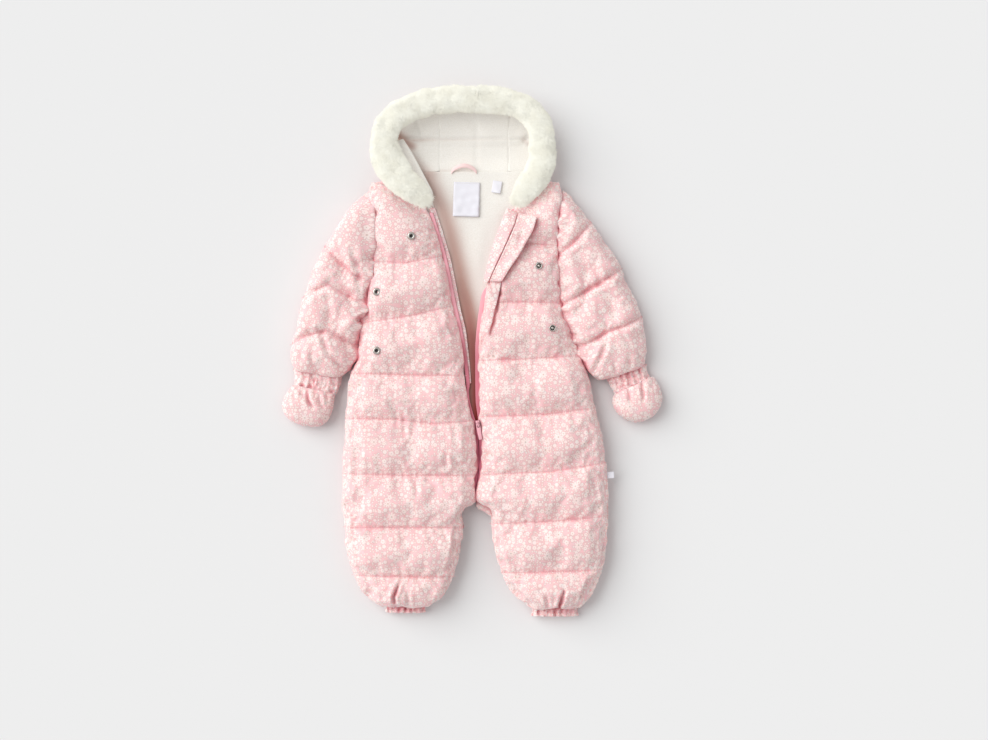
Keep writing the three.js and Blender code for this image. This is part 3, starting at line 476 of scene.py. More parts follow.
def swell(piece, held, pressure, growth, cap):
    """Blows the piece up under pressure; no point moves more than cap mm."""
    pin(piece, held)
    select_only(piece)
    before = points_of(piece)
    bpy.ops.object.modifier_add(type="CLOTH")
    cloth = piece.modifiers[-1]
    cloth.settings.use_pressure = True
    cloth.settings.uniform_pressure_force = pressure
    cloth.settings.effector_weights.gravity = 0
    cloth.settings.shrink_min = -growth
    cloth.settings.quality = 4
    cloth.settings.tension_stiffness = 12
    cloth.settings.compression_stiffness = 12
    cloth.settings.shear_stiffness = 4
    cloth.settings.bending_stiffness = 0.25
    cloth.settings.vertex_group_mass = "sewn"
    cloth.collision_settings.use_collision = False
    for step in range(1, 21):
        scene.frame_set(step)
    bpy.ops.object.modifier_apply(modifier=cloth.name)
    scene.frame_set(1)
    piece.vertex_groups.clear()
    moved = points_of(piece) - before
    size = np.linalg.norm(moved, axis=1)
    moved *= np.minimum(1, cap * MM / np.maximum(size, 1e-9))[:, None]
    move_points(piece, before + moved)
    print(piece.name, "swelled by up to", round(size.max() / MM, 1), "mm, kept to", cap)

# %% Sew the lines into the cloth
def sink_lines(piece, lines, depth, width):
    """Pulls the upper side down into grooves along sewn lines or folds."""
    points = points_of(piece)
    up = np.clip(normals_of(piece)[:, 2] * 2, 0, 1)
    for line in lines:
        away, _ = line_distance(points, line)
        points[:, 2] -= depth * MM * up * np.exp(-(away / width) ** 2)
    move_points(piece, points)


def pucker(piece, lines, height, reach, spacing, seed):
    """Small uneven ridges that run away from each sewn line."""
    points = points_of(piece)
    up = np.clip(normals_of(piece)[:, 2] * 1.6, 0, 1)
    for k, line in enumerate(lines):
        away, along = line_distance(points, line)
        length = np.linalg.norm(np.array(line[-1]) - np.array(line[0]))
        place = along * length
        draw = np.random.default_rng(seed + k)
        wave = np.zeros(len(points))
        for factor in (0.6, 1, 1.45, 2.1):
            lean = draw.uniform(-0.5, 0.5)
            wave += np.sin(math.tau * (place + lean * away) / (spacing * factor) + draw.uniform(0, math.tau))
        loud = 0.65 + 0.35 * np.sin(place / 17 + draw.uniform(0, math.tau))
        fade = np.exp(-away / reach) * np.clip(away / 1.5, 0.15, 1)
        points[:, 2] += height * MM * up * fade * loud * wave / 2
    move_points(piece, points)


def crease(piece, folds):
    """Listed folds: a trough with a soft ridge beside it, fading out at both ends."""
    points = points_of(piece)
    up = np.clip(normals_of(piece)[:, 2] * 1.6, 0, 1)
    for *line, depth, width in folds:
        away, along = line_distance(points, line)
        fade = np.clip(4 * along * (1 - along) + 0.05, 0, 1) ** 0.6
        trough = np.exp(-(away / width) ** 2)
        ridge = 0.45 * np.exp(-((away - 2.2 * width) / (1.3 * width)) ** 2)
        points[:, 2] -= depth * MM * up * fade * (trough - ridge)
    move_points(piece, points)


def reach_seam(piece, line, push, reach=6):
    """Carries a piece's edge on over a sewn line by push (x, y, z) mm, so that no gap shows."""
    points = points_of(piece)
    away, _ = line_distance(points, line)
    points += np.array(push) * MM * np.exp(-(away / reach) ** 2)[:, None]
    keep_above_floor(points)
    move_points(piece, points)

# %% Map the cloth
def map_cloth(piece, low, spread=0.8, turn=0.0):
    """A map named cloth, in metres: X and Y, carried on down the sides below the height low (mm)."""
    points, out = points_of(piece), normals_of(piece)
    depth = np.maximum(0, low * MM - points[:, 2])[:, None]
    flat = points[:, :2] + out[:, :2] * depth * spread
    c, s = math.cos(turn), math.sin(turn)
    flat = flat @ np.array([[c, s], [-s, c]])
    layer = piece.data.uv_layers.new(name="cloth")
    corners = np.empty(len(piece.data.loops), int)
    piece.data.loops.foreach_get("vertex_index", corners)
    layer.uv.foreach_set("vector", np.ascontiguousarray(flat[corners]).ravel())


def finish_piece(piece, material, replaced, body="suit"):
    piece.data.materials.clear()
    piece.data.materials.append(material)
    select_only(piece)
    bpy.ops.object.shade_smooth()
    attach(piece, body)
    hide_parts(*replaced)

# %% [markdown]
# ### Fronts
# Each front runs from the neck to the leg hem in one piece. The tables give where each quilting
# line meets the side seam and the zip edge, and the larger folds.

# %% Fronts
RIGHT_LINES = [  # (side x, side y), (zip edge x, zip edge y), mm
    [(-122, 112), (-80, 111), (-38, 119)],
    [(-140, 36), (-80, 44), (-24, 57)],
    [(-154, -27), (-80, -29), (-6, -30)],
    [(-160, -83), (-100, -84), (-45, -90), (0, -86)],
    [(-163, -152), (-80, -154), (4, -154)],
    [(-162, -219), (-8, -219)],
    [(-151, -279), (-20, -281)],
]
LEFT_LINES = [
    [(106, 132), (34, 137)],
    [(113, 61), (16, 62)],
    [(131, -5), (70, -9), (9, -11)],
    [(155, -70), (90, -78), (11, -81)],
    [(169, -138), (100, -149), (13, -153)],
    [(172, -205), (100, -211), (21, -215)],
    [(163, -272), (36, -276)],
]
RIGHT_FOLDS = [  # points, depth, width in mm
    ((-66, 147), (-50, 152), (-38, 158), 1.6, 3.0),
    ((-32, -124), (-33, -136), (-30, -150), 2.6, 2.6),
    ((-26, -128), (-18, -139), (-6, -150), 1.8, 3.0),
    ((-104, -62), (-95, -74), (-93, -90), 2.0, 2.6),
    ((-86, -74), (-84, -92), (-83, -108), 1.6, 2.4),
    ((-70, -160), (-68, -180), 1.5, 2.4),
    ((-36, 74), (-30, 90), (-32, 104), 1.8, 2.6),
    ((-90, -287), (-97, -305), (-95, -321), 6.5, 2.0),
    ((-80, -298), (-79, -318), 3.2, 2.2),
    ((-118, -296), (-110, -312), 1.6, 3.0),
    ((-20, -212), (-22, -240), (-30, -272), 1.8, 2.2),
]
LEFT_FOLDS = [
    ((36, 83), (31, 64), (25, 39), 3.5, 2.6),
    ((25, 40), (19, 24), (14, 6), 2.6, 2.6),
    ((115, -296), (111, -310), (106, -324), 6.5, 2.0),
    ((92, -302), (95, -320), 3.2, 2.2),
    ((132, -300), (126, -316), 1.6, 3.0),
    ((60, 150), (72, 144), (86, 140), 1.6, 3.0),
    ((124, -30), (133, -46), 1.4, 3.0),
    ((108, 118), (101, 106), (98, 92), 1.8, 3.0),
]
FRONT_UNDER = 16.6


def make_front(name, lines, folds, seed):
    piece = remeshed(name, [name.replace("quilted_", "")], 3.6, 6)
    points = points_of(piece)
    held = np.clip((FRONT_UNDER + 3.5 - points[:, 2] / MM), 0, 1)
    for line in lines:
        away, _ = line_distance(points, line)
        held = np.maximum(held, np.exp(-(away / 2.4) ** 2))
    swell(piece, held, 2.2, 0.06, 7)
    apply_modifier(piece, "SUBSURF", levels=1, render_levels=1)
    sink_lines(piece, lines, 1.6, 1.8)
    pucker(piece, lines, 0.9, 8, 10, seed)
    crease(piece, folds)
    map_cloth(piece, 38, 0.6)
    finish_piece(piece, shell, [name.replace("quilted_", "")])
    print(name, len(piece.data.polygons), "faces")
    return piece


make_front("quilted_front_right", RIGHT_LINES, RIGHT_FOLDS, 11)
make_front("quilted_front_left", LEFT_LINES, LEFT_FOLDS, 31)

# %% [markdown]
# ### Backs
# The back halves lie on the surface, so their undersides are flat and their quilting shows only
# as shallow grooves there and as dents on the rounded sides. No simulation is needed.

# %% Backs
def groove_under(piece, lines, depth, width):
    """Grooves on the underside, never below the surface that the suit lies on."""
    points = points_of(piece)
    down = np.clip(-normals_of(piece)[:, 2] * 2, 0, 1)
    for line in lines:
        away, _ = line_distance(points, line)
        points[:, 2] += depth * MM * down * np.exp(-(away / width) ** 2)
    keep_above_floor(points)
    move_points(piece, points)


def make_back(name, lines, seed):
    piece = remeshed(name, [name.replace("quilted_", "")], 4.5, 4)
    apply_modifier(piece, "SUBSURF", levels=1, render_levels=1)
    longer = [[(x * 1.02, y) for x, y in line] + [(4, line[-1][1])] for line in lines[:5]] + lines[5:]
    groove_under(piece, longer, 1.5, 3)
    pucker(piece, lines, 0.5, 8, 12, seed)
    map_cloth(piece, 14)
    finish_piece(piece, shell, [name.replace("quilted_", "")])


make_back("quilted_back_right", RIGHT_LINES, 51)
make_back("quilted_back_left", LEFT_LINES, 61)

# %% [markdown]
# ### Sleeves
# A sleeve is a tube of quilted cloth that lies flat. Its quilting lines run across the arm, and
# the elastic cuff pulls long folds up from the wrist.

# %% Sleeves
RIGHT_SLEEVE_LINES = [
    [(-192, 140), (-172, 118), (-147, 96), (-126, 86)],
    [(-217, 66), (-178, 84), (-160, 72), (-139, 62)],
    [(-229, 8), (-206, 20), (-180, 26), (-148, 8)],
]
RIGHT_SLEEVE_FOLDS = [
    ((-150, 130), (-143, 108), (-139, 72), 3.2, 4.0),
    ((-175, 88), (-158, 76), (-138, 66), 3.0, 4.0),
    ((-180, 75), (-177, 52), (-181, 30), 2.2, 4.0),
    ((-187, 30), (-183, 10), (-176, -8), 3.4, 3.2),
    ((-176, -4), (-166, -16), (-158, -24), 3.6, 3.0),
    ((-160, 20), (-156, 2), (-152, -14), 2.0, 4.0),
    ((-214, 8), (-212, -10), 2.0, 3.4),
    ((-200, 0), (-198, -18), 2.4, 3.0),
]
LEFT_SLEEVE_LINES = [
    [(108, 120), (128, 137), (150, 163)],
    [(115, 58), (136, 72), (158, 84), (192, 107)],
    [(134, 6), (154, 15), (170, 25), (191, 32), (217, 46)],
]
LEFT_SLEEVE_FOLDS = [
    ((152, 106), (158, 92), (158, 80), 2.4, 3.0),
    ((156, -20), (161, -4), (168, 12), 3.6, 3.0),
    ((184, 30), (194, 12), (202, 0), 1.6, 4.0),
    ((168, 66), (178, 52), (180, 38), 1.6, 5.0),
    ((138, 108), (150, 100), (160, 98), 1.4, 4.0),
    ((176, -12), (180, -26), 2.4, 3.0),
    ((196, -4), (197, -20), 2.4, 3.0),
    ((124, 176), (118, 150), 1.6, 3.0),
]


def make_sleeve(name, lines, folds, turn, seed):
    piece = remeshed(name, [name.replace("quilted_", "")], 3.4, 14)
    sink_lines(piece, lines, 4.5, 6)
    apply_modifier(piece, "SMOOTH", factor=0.5, iterations=2)
    points = points_of(piece)
    held = np.clip(8 - points[:, 2] / MM, 0, 1)
    for line in lines:
        away, _ = line_distance(points, line)
        held = np.maximum(held, np.exp(-(away / 2.4) ** 2))
    swell(piece, held, 2.6, 0.06, 6)
    apply_modifier(piece, "SUBSURF", levels=1, render_levels=1)
    sink_lines(piece, lines, 1.6, 1.8)
    pucker(piece, lines, 1.0, 9, 10, seed)
    crease(piece, folds)
    points = points_of(piece)
    keep_above_floor(points)
    move_points(piece, points)
    map_cloth(piece, 27, 0.6, turn)
    finish_piece(piece, shell, [name.replace("quilted_", "")])


make_sleeve("quilted_sleeve_right", RIGHT_SLEEVE_LINES, RIGHT_SLEEVE_FOLDS, 0.5, 71)
make_sleeve("quilted_sleeve_left", LEFT_SLEEVE_LINES, LEFT_SLEEVE_FOLDS, -0.5, 81)

# %% [markdown]
# ### Cuffs, leg hems and mitts
# Elastic draws the cloth into small pleats. They are ridges across the elastic, uneven in width,
# and deepest beside the two rows of stitching.

# %% Gathered bands
def gather(piece, line, height, spacing, seed):
    """Pleats across an elastic band whose middle runs along a line, on both sides of the band."""
    points = points_of(piece)
    facing = normals_of(piece)[:, 2]
    away, along = line_distance(points, line)
    length = np.linalg.norm(np.array(line[-1]) - np.array(line[0]))
    draw = np.random.default_rng(seed)
    place = along * length + 1.6 * np.sin(away / 5 + draw.uniform(0, math.tau))
    wave = np.zeros(len(points))
    for factor, share in ((1, 1.0), (1.37, 0.7), (0.58, 0.45)):
        wave += share * np.sin(math.tau * place / (spacing * factor) + draw.uniform(0, math.tau))
    sharp = np.sign(wave) * np.abs(wave / 2.1) ** 0.8
    uneven = np.clip(0.65 + 0.5 * soft_noise(points, 9, seed + 3), 0.15, 1.4)
    points[:, 2] += height * MM * facing * sharp * uneven * (facing > 0)
    keep_above_floor(points)
    move_points(piece, points)


def make_band(name, node, line, edges, height, spacing, seed):
    piece = remeshed(name, [node], 1.7, 3)
    gather(piece, line, height, spacing, seed)
    sink_lines(piece, edges, 1.6, 1.6)
    map_cloth(piece, 12)
    finish_piece(piece, shell, [node])


make_band("gathered_cuff_right", "cuff_right", [(-226, -30), (-166, -44)],
          [[(-226, -24), (-163, -35)], [(-225, -39), (-168, -50)]], 3.6, 9, 5)
make_band("gathered_cuff_left", "cuff_left", [(222, -23), (172, -43)],
          [[(219, -19), (168, -37)], [(224, -28), (176, -49)]], 3.6, 8, 6)
make_band("gathered_hem_right", "hem_band_right", [(-112, -323), (-55, -323)],
          [[(-112, -320), (-55, -320)]], 3.4, 7, 7)
make_band("gathered_hem_left", "hem_band_left", [(72, -326.5), (137, -326.5)],
          [[(72, -322), (137, -322)]], 3.4, 7, 8)

# %% Mitts
RIGHT_MITT_FOLDS = [
    ((-206, -50), (-204, -62), (-198, -70), 4.4, 2.0),
    ((-214, -50), (-208, -58), 2.6, 2.0),
    ((-192, -54), (-188, -66), (-184, -74), 2.6, 2.4),
    ((-182, -56), (-180, -66), 2.2, 2.0),
    ((-224, -50), (-220, -62), 1.6, 2.4),
]
LEFT_MITT_FOLDS = [
    ((212, -39), (213, -50), (214, -62), 3.6, 2.2),
    ((196, -50), (198, -62), 1.8, 2.6),
    ((224, -34), (226, -46), 1.6, 2.6),
    ((184, -54), (188, -64), 1.4, 2.4),
]


def make_mitt(name, nodes_of_mitt, folds, edge, seed):
    piece = copy_of(name, *nodes_of_mitt)
    apply_modifier(piece, "REMESH", mode="VOXEL", voxel_size=2.6 * MM)
    apply_modifier(piece, "SMOOTH", factor=0.5, iterations=8)
    points = points_of(piece)
    swell(piece, np.clip(6 - points[:, 2] / MM, 0, 1), 2.4, 0.05, 3)
    apply_modifier(piece, "SUBSURF", levels=1, render_levels=1)
    pucker(piece, [edge], 1.5, 10, 8, seed)
    crease(piece, folds)
    points = points_of(piece)
    keep_above_floor(points)
    move_points(piece, points)
    map_cloth(piece, 12)
    finish_piece(piece, shell, nodes_of_mitt)


make_mitt("mitt_right", ["mitt_right_upper", "mitt_right_lower"], RIGHT_MITT_FOLDS,
          [(-228, -43), (-170, -54)], 91)
make_mitt("mitt_left", ["mitt_left_upper", "mitt_left_lower"], LEFT_MITT_FOLDS,
          [(228, -31), (179, -53)], 95)

# %% [markdown]
# ### Hood shell
# The pink outside of the hood shows only from the sides and from below. It gets the same wadding
# and print.

# %% Hood shell
def make_hood_shell(name, node):
    piece = remeshed(name, [node], 3.2, 5)
    points = points_of(piece)
    keep_above_floor(points)
    move_points(piece, points)
    map_cloth(piece, 24)
    finish_piece(piece, shell, [node])


for side in ("side_right", "side_left", "centre"):
    make_hood_shell(f"padded_hood_{side}", f"hood_{side}")

# %% [markdown]
# ### Close the seams
# Smoothing draws every piece in a little, which would leave dark gaps where two pieces are sewn
# together. So the edges are carried on over each seam.

# %% Close the seams
RIGHT_ARMHOLE = [(-129, 205), (-124, 179), (-122, 139), (-122, 116), (-126, 90), (-135, 60)]
LEFT_ARMHOLE = [(113, 205), (108, 181), (106, 136), (107, 111), (113, 57)]
RIGHT_UNDERARM = [(-136, 52), (-142, 31), (-145, 9), (-149, -11), (-153, -22)]
LEFT_UNDERARM = [(116, 50), (123, 31), (131, 9), (136, -2)]
SEAMS = (
    # piece, line, push
    ("quilted_sleeve_right", RIGHT_ARMHOLE, (3.4, 0, 0.6)),
    ("quilted_front_right", RIGHT_ARMHOLE, (-1.6, 0, 0.6)),
    ("quilted_sleeve_left", LEFT_ARMHOLE, (-3.4, 0, 0.6)),
    ("quilted_front_left", LEFT_ARMHOLE, (1.6, 0, 0.6)),
    ("quilted_sleeve_right", [(-124, 180), (-121, 116), (-127, 90)], (4, 0, 2)),
    ("quilted_sleeve_right", [(-134, 58), (-140, 34)], (4, 0, 1)),
    ("quilted_front_right", [(-136, 58), (-139, 34)], (-3, 0, 1)),
    ("quilted_sleeve_left", [(112, 160), (110, 146)], (-6, 0, 1)),
    ("quilted_front_left", [(107, 160), (106, 146)], (3, 0, 0)),
    ("quilted_sleeve_left", [(134, 6), (139, -5)], (-5, 0, 0)),
    ("quilted_sleeve_left", [(141, -6), (152, -17), (162, -27)], (-5, -8, 0)),
    ("quilted_front_left", [(132, 4), (136, -6)], (3, 0, 0)),
    ("quilted_sleeve_right", RIGHT_UNDERARM, (9, 0, 1)),
    ("quilted_sleeve_left", LEFT_UNDERARM, (-9, 0, 1)),
    ("quilted_front_right", [(-54, 176), (-37, 117), (-24, 52), (-12, -10)], (1.6, 0, 0)),
    ("quilted_front_right", [(1, -88), (4.5, -143), (3, -186)], (3.2, 0, 0)),
    ("quilted_front_left", [(51, 176), (28, 117), (14, 52), (9.5, -20)], (-1.6, 0, 0)),
    ("quilted_front_left", [(9.5, -20), (10.5, -55), (11.5, -84)], (-2, 0, 0)),
    ("quilted_front_left", [(121, 36), (127, 20), (132, 8)], (3.5, 0, 1)),
    ("quilted_front_left", [(12, -84), (15.6, -110), (13, -150), (7, -186)], (-3.4, 0, 0)),
    ("quilted_front_right", [(-5, -201), (-9, -208)], (-3.5, 3.5, 0)),
    ("quilted_back_right", [(-5, -201), (-9, -208)], (-3.5, 3.5, 0)),
    ("quilted_front_left", [(17, -201), (21, -208)], (3.5, 3.5, 0)),
    ("quilted_back_left", [(17, -201), (21, -208)], (3.5, 3.5, 0)),
    ("quilted_sleeve_right", [(-228, -20), (-161, -31)], (0, -2.4, 0)),
    ("quilted_sleeve_left", [(219, -15), (166, -33)], (0, -2.4, 0)),
    ("gathered_cuff_right", [(-226, -22), (-162, -33)], (0, 1.8, 0)),
    ("gathered_cuff_right", [(-225, -42), (-170, -53)], (0, -1.6, 0)),
    ("gathered_cuff_left", [(219, -17), (168, -35)], (0, 1.8, 0)),
    ("gathered_cuff_left", [(225, -31), (178, -52)], (0, -1.6, 0)),
    ("mitt_right", [(-227, -43), (-171, -54)], (0, 2.2, 0)),
    ("mitt_left", [(228, -32), (180, -53)], (0, 2.2, 0)),
    ("quilted_front_right", [(-112, -318), (-55, -318)], (0, -2.2, 0)),
    ("quilted_back_right", [(-112, -318), (-55, -318)], (0, -2.2, 0)),
    ("quilted_front_left", [(136, -320), (72, -320)], (0, -2.2, 0)),
    ("quilted_back_left", [(136, -320), (72, -320)], (0, -2.2, 0)),
    ("gathered_hem_right", [(-111, -319), (-56, -319)], (0, 1.6, 0)),
    ("gathered_hem_left", [(135, -321), (73, -321)], (0, 1.6, 0)),
)
for piece_name, line, push in SEAMS:
    reach_seam(bpy.data.objects[piece_name], line, push)
print(len(SEAMS), "seams closed")

# %% [markdown]
# ### Fleece lining
# The lining is a single thin layer. It starts from the plain solid's own points, subdivided until
# it can take soft folds, because a remesh would lose a wall this thin.

# %% Fleece pieces
def thin_cloth(name, node, cuts, smoothing):
    """A finely divided copy of a thin wall."""
    piece = copy_of(name, node)
    bpy.ops.object.mode_set(mode="EDIT")
    bpy.ops.mesh.select_all(action="SELECT")
    bpy.ops.mesh.subdivide(number_cuts=cuts)
    bpy.ops.object.mode_set(mode="OBJECT")
    if smoothing:
        apply_modifier(piece, "SMOOTH", factor=0.5, iterations=smoothing)
    return piece


def bend_cloth(piece, folds, ripple, size, seed):
    """Moves both sides of a thin wall together, so that it keeps its thickness."""
    points = points_of(piece)
    lift = ripple * soft_noise(points, size, seed)
    for *line, depth, width in folds:
        away, along = line_distance(points, line)
        fade = np.clip(4 * along * (1 - along) + 0.15, 0, 1) ** 0.5
        lift = lift - depth * fade * np.exp(-(away / width) ** 2)
    points[:, 2] += lift * MM
    move_points(piece, points)


def paint_shade_lines(piece, shades):
    """Paints shade along some lines: (line points..., (first, last strength), width).

    The lines are placed and tuned. The shade stays whatever the light, so it isn't a shadow.
    """
    # The painted shade stands in for the dim light in folds, the pocket and the slit, and for the shadow that
    # the right front's edge casts on the lining.
    points = points_of(piece)
    painted_shade = np.zeros(len(points))
    for *line, (first, last), width in shades:
        away, along = line_distance(points, line)
        painted_shade = np.maximum(painted_shade, (first + (last - first) * along) * np.exp(-(away / width) ** 2))
    attribute = piece.data.attributes.new("painted_shade", "FLOAT", "POINT")
    attribute.data.foreach_set("value", painted_shade.astype(np.float32))


def make_lining(name, node, folds, ripple=0.5, seed=3, reach=(), shades=()):
    """reach holds (line, push): the seams that the piece's edges are carried over."""
    piece = thin_cloth(name, node, 6, 1)
    for line, push in reach:
        reach_seam(piece, line, push, 5)
    bend_cloth(piece, folds, ripple, 45, seed)
    paint_shade_lines(piece, shades)
    finish_piece(piece, fleece, [node])


# The hood's lining is lifted at the neck seam, where it is sewn to the lining of the back.
NECK_LIFT = [(-110, 224), (110, 224), -6.2, 13]
HOOD_RIGHT_SEAM = [(-41, 222), (-41, 300)]
HOOD_LEFT_SEAM = [(46, 222), (46, 300)]
NECK_SEAM = [(-80, 226), (70, 226)]
# The shades below are painted shade: along the folds and the neck seam, in the pocket beside the fur, and in
# the opening, where the right front's edge shades the lining and the slit is dark.
POCKET_SHADE = [(-96, 274), (-88, 267), (-76, 258), (1.0, 0.8), 6]
make_lining("hood_lining_centre_fleece", "hood_lining_centre",
            [((-41, 267), (46, 267), 2.2, 1.6), ((6, 229), (5, 296), 0.9, 1.3),
             ((12, 270), (-4, 292), 0.9, 5), NECK_LIFT],
            reach=[(HOOD_RIGHT_SEAM, (-0.7, 0, 0)), (HOOD_LEFT_SEAM, (0.7, 0, 0)),
                   (NECK_SEAM, (0, -1.4, -0.4))],
            shades=[((-41, 266), (46, 266), (0.2, 0.05), 1.6), ((-41, 226), (-10, 226), (0.25, 0), 3)])
make_lining("hood_lining_right_fleece", "hood_lining_side_right",
            [((-92, 268), (-41, 267), 2.4, 1.6), ((-70, 290), (-62, 268), 1.8, 2.5), NECK_LIFT,
             ((-92, 275), (-76, 262), 0.8, 8)],
            reach=[(HOOD_RIGHT_SEAM, (0.7, 0, 0))],
            shades=[POCKET_SHADE, ((-80, 265), (-41, 266), (0.6, 0.1), 2), ((-78, 245), (-58, 224), (0.3, 0.5), 8)])
make_lining("hood_lining_left_fleece", "hood_lining_side_left",
            [((46, 267), (72, 266), 2.2, 1.6), ((64, 262), (72, 272), 2, 4), NECK_LIFT],
            reach=[(HOOD_LEFT_SEAM, (-0.7, 0, 0))],
            shades=[((64, 266), (72, 260), (0.2, 0.4), 3)])
make_lining("back_lining_fleece", "back_lining",
            [((-30, 160), (-14, 60), (-4, 0), 0.9, 5), ((24, 160), (12, 90), 0.6, 6)],
            0.3, 4,
            reach=[(NECK_SEAM, (0, 1.6, 0.6))],
            shades=[((-56, 222), (-53, 210), (-38, 180), (-28, 150), (-21, 120), (-16, 100),
                     (0.75, 1.0), 13.5),
                    ((-16, 100), (-13, 80), (-8, 60), (-4, 40), (-1, 20), (0.95, 1.6), 14),
                    ((-1, 22), (2, 0), (5, -40), (7, -90), (1.6, 2.0), 16)])
make_lining("hood_facing_fleece", "hood_facing_right",
            [((-86, 266), (-77, 252), (-67, 234), (-57, 215), (-48, 198), (-41, 181), -3.4, 6)],
            0.3, 6, reach=[([(-46, 190), (-38, 178)], (-7, 2, -3))])

# %% [markdown]
# ### Fur trim
# The trim is a strip of imitation fur sewn round the face opening. It needs two things: a soft
# body, which gives the shape, and the pile, which gives the blurred edge and the small clumps.
# Hair systems are heavy and don't export, so the pile is a mesh: tens of thousands of narrow
# flat hairs, all worked out at once. They share the body's normals, so light falls on them
# as on one soft surface.

# %% Pile
FUR_SEAM_X = 5


def grow_pile(name, body, count, length, width, seed):
    """Short hairs rooted all over a body; length and width in mm."""
    draw = np.random.default_rng(seed)
    mesh = body.data
    mesh.calc_loop_triangles()
    corners = np.empty(len(mesh.loop_triangles) * 3, int)
    mesh.loop_triangles.foreach_get("vertices", corners)
    corners = corners.reshape(-1, 3)
    points, normals = points_of(body), normals_of(body)
    a, b, c = (points[corners[:, k]] for k in range(3))
    areas = np.linalg.norm(np.cross(b - a, c - a), axis=1)
    at_seam = np.abs(a[:, 0] / MM - FUR_SEAM_X) < 4
    areas *= (normals[corners[:, 0], 2] > -0.3) & ~(at_seam & (np.abs(normals[corners[:, 0], 0]) > 0.8))
    chosen = draw.choice(len(corners), count, p=areas / areas.sum())
    u, v = draw.random((2, count))
    u, v = np.where(u + v > 1, 1 - u, u), np.where(u + v > 1, 1 - v, v)
    weight = np.stack([1 - u - v, u, v], axis=1)[:, :, None]
    root = (points[corners[chosen]] * weight).sum(axis=1)
    out = (normals[corners[chosen]] * weight).sum(axis=1)
    out /= np.linalg.norm(out, axis=1)[:, None]
    comb = np.zeros((count, 3))
    for size, share in ((26, 0.3), (12, 0.4), (6, 0.35)):
        for axis in range(3):
            wave = draw.normal(size=(3, 4)) / (size * MM) * 2.2
            comb[:, axis] += share * np.sin(root @ wave + draw.uniform(0, math.tau, 4)).sum(axis=1) / 2
    # On the sides the hairs hang, which also turns their broad faces up to the light.
    comb += 0.45 * draw.normal(size=(count, 3)) + np.array([0, 0, -1.1])
    comb -= out * (comb * out).sum(axis=1)[:, None]
    comb /= np.linalg.norm(comb, axis=1)[:, None]
    lean = 0.6 * out + 0.85 * comb
    lean /= np.linalg.norm(lean, axis=1)[:, None]
    size = length * MM * draw.uniform(0.65, 1.1, count)[:, None]
    side = np.cross(lean, 0.5 * out + np.array([0, 0, 0.85]))
    side *= width * MM / 2 / np.linalg.norm(side, axis=1)[:, None]
    middle = root + lean * size * 0.55
    bent = lean + 0.35 * comb - 0.25 * out
    tip = middle + bent / np.linalg.norm(bent, axis=1)[:, None] * size * 0.45
    root -= out * 1.2 * MM
    blades = np.stack([root - side, root + side, middle + side * 0.8, middle - side * 0.8, tip], axis=1)
    first = np.arange(count)[:, None] * 5
    faces = (first + [0, 1, 2, 3]).tolist() + (first + [3, 2, 4]).tolist()
    pile_mesh = bpy.data.meshes.new(name)
    pile_mesh.from_pydata(blades.reshape(-1, 3), [], faces)
    pile = bpy.data.objects.new(name, pile_mesh)
    scene.collection.objects.link(pile)
    select_only(pile)
    bpy.ops.object.shade_smooth()
    soft = 0.55 * out + 0.2 * lean + np.array([0, 0, 0.55]) + 0.13 * draw.normal(size=(count, 3))
    soft /= np.linalg.norm(soft, axis=1)[:, None]
    pile_mesh.normals_split_custom_set_from_vertices(np.repeat(soft, 5, axis=0))
    return pile


PILE_LENGTH = 9
BODY_INSET = 6


def make_fur_trim(name, node, count, seed, edges):
    """edges holds (line, push, reach): the body's edges are carried there, under the pile."""
    body = remeshed(name + "_body", [node], 3.0, 6)
    points = points_of(body)
    lumps = soft_noise(points, 26, seed) + 0.6 * soft_noise(points, 12, seed + 1)
    points -= normals_of(body) * ((BODY_INSET - 0.8 * lumps) * MM)[:, None]
    move_points(body, points)
    for line, push, reach in edges:
        reach_seam(body, line, push, reach)
    finish_piece(body, fur_ground, [node])
    pile = grow_pile(name + "_pile", body, count, PILE_LENGTH, 0.85, seed)
    pile.data.materials.append(fur)
    # The body casts the shadow: single hairs would each darken the pile far too much.
    pile.visible_shadow = pile.visible_diffuse = False
    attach(pile, "suit")
    print(name, count, "hairs")


FUR_SEAM = [(FUR_SEAM_X, 260), (FUR_SEAM_X, 335)]
make_fur_trim("fur_right", "fur_trim_right", 56000, 201,
              [(FUR_SEAM, (BODY_INSET, 0, 0), 9), ([(-70, 173), (-44, 178)], (3, -6, 0), 12)])
make_fur_trim("fur_left", "fur_trim_left", 48000, 207,
              [(FUR_SEAM, (-BODY_INSET, 0, 0), 9), ([(46, 184), (64, 174)], (-3, -6, 0), 12),
               ([(58, 240), (54, 206), (50, 186)], (-8, 0, 0), 13)])

# %% [markdown]
# ### Flap and facing
# The front flap is turned back over the left front, so its underside shows. Both strips are two
# layers of shell cloth, so they are copies of their solids, finely divided and softened, with the
# flap's outer edge lifted and a shallow groove along the zip facing.

# %% Flap, facing and tapes
def make_strip(name, node, folds):
    piece = thin_cloth(name, node, 4, 3)
    bend_cloth(piece, folds, 0.5, 16, 9)
    map_cloth(piece, 0, 0, 0.9)
    finish_piece(piece, shell, [node])
    return piece


make_strip("folded_flap", "placket",
           [((81, 166), (76, 150), (68, 136), (58, 118), (46, 101), (38, 86), -7, 8)])
make_strip("zip_facing_strip", "zip_facing", [((54, 158), (38, 122), (22, 88), 1.2, 1.5)])
make_strip("front_facing_strip", "front_facing_right", [])
# The tail's upper end goes on under the flap.
tail = make_strip("folded_flap_tail", "placket_tail", [])
reach_seam(tail, [(12, 86), (30, 86)], (2, 9, -1.2), 7)


def make_tape(name, node):
    piece = thin_cloth(name, node, 3, 1)
    bend_cloth(piece, [], 0.3, 22, 5)
    finish_piece(piece, tape_cloth, [node])
    # What shows of the tape is narrower than its rectangle nearly everywhere.
    return piece


reach_seam(make_tape("woven_tape_right", "zip_tape_right"), [(-2, -50), (2, -84)], (-2.2, 0, 0), 5)
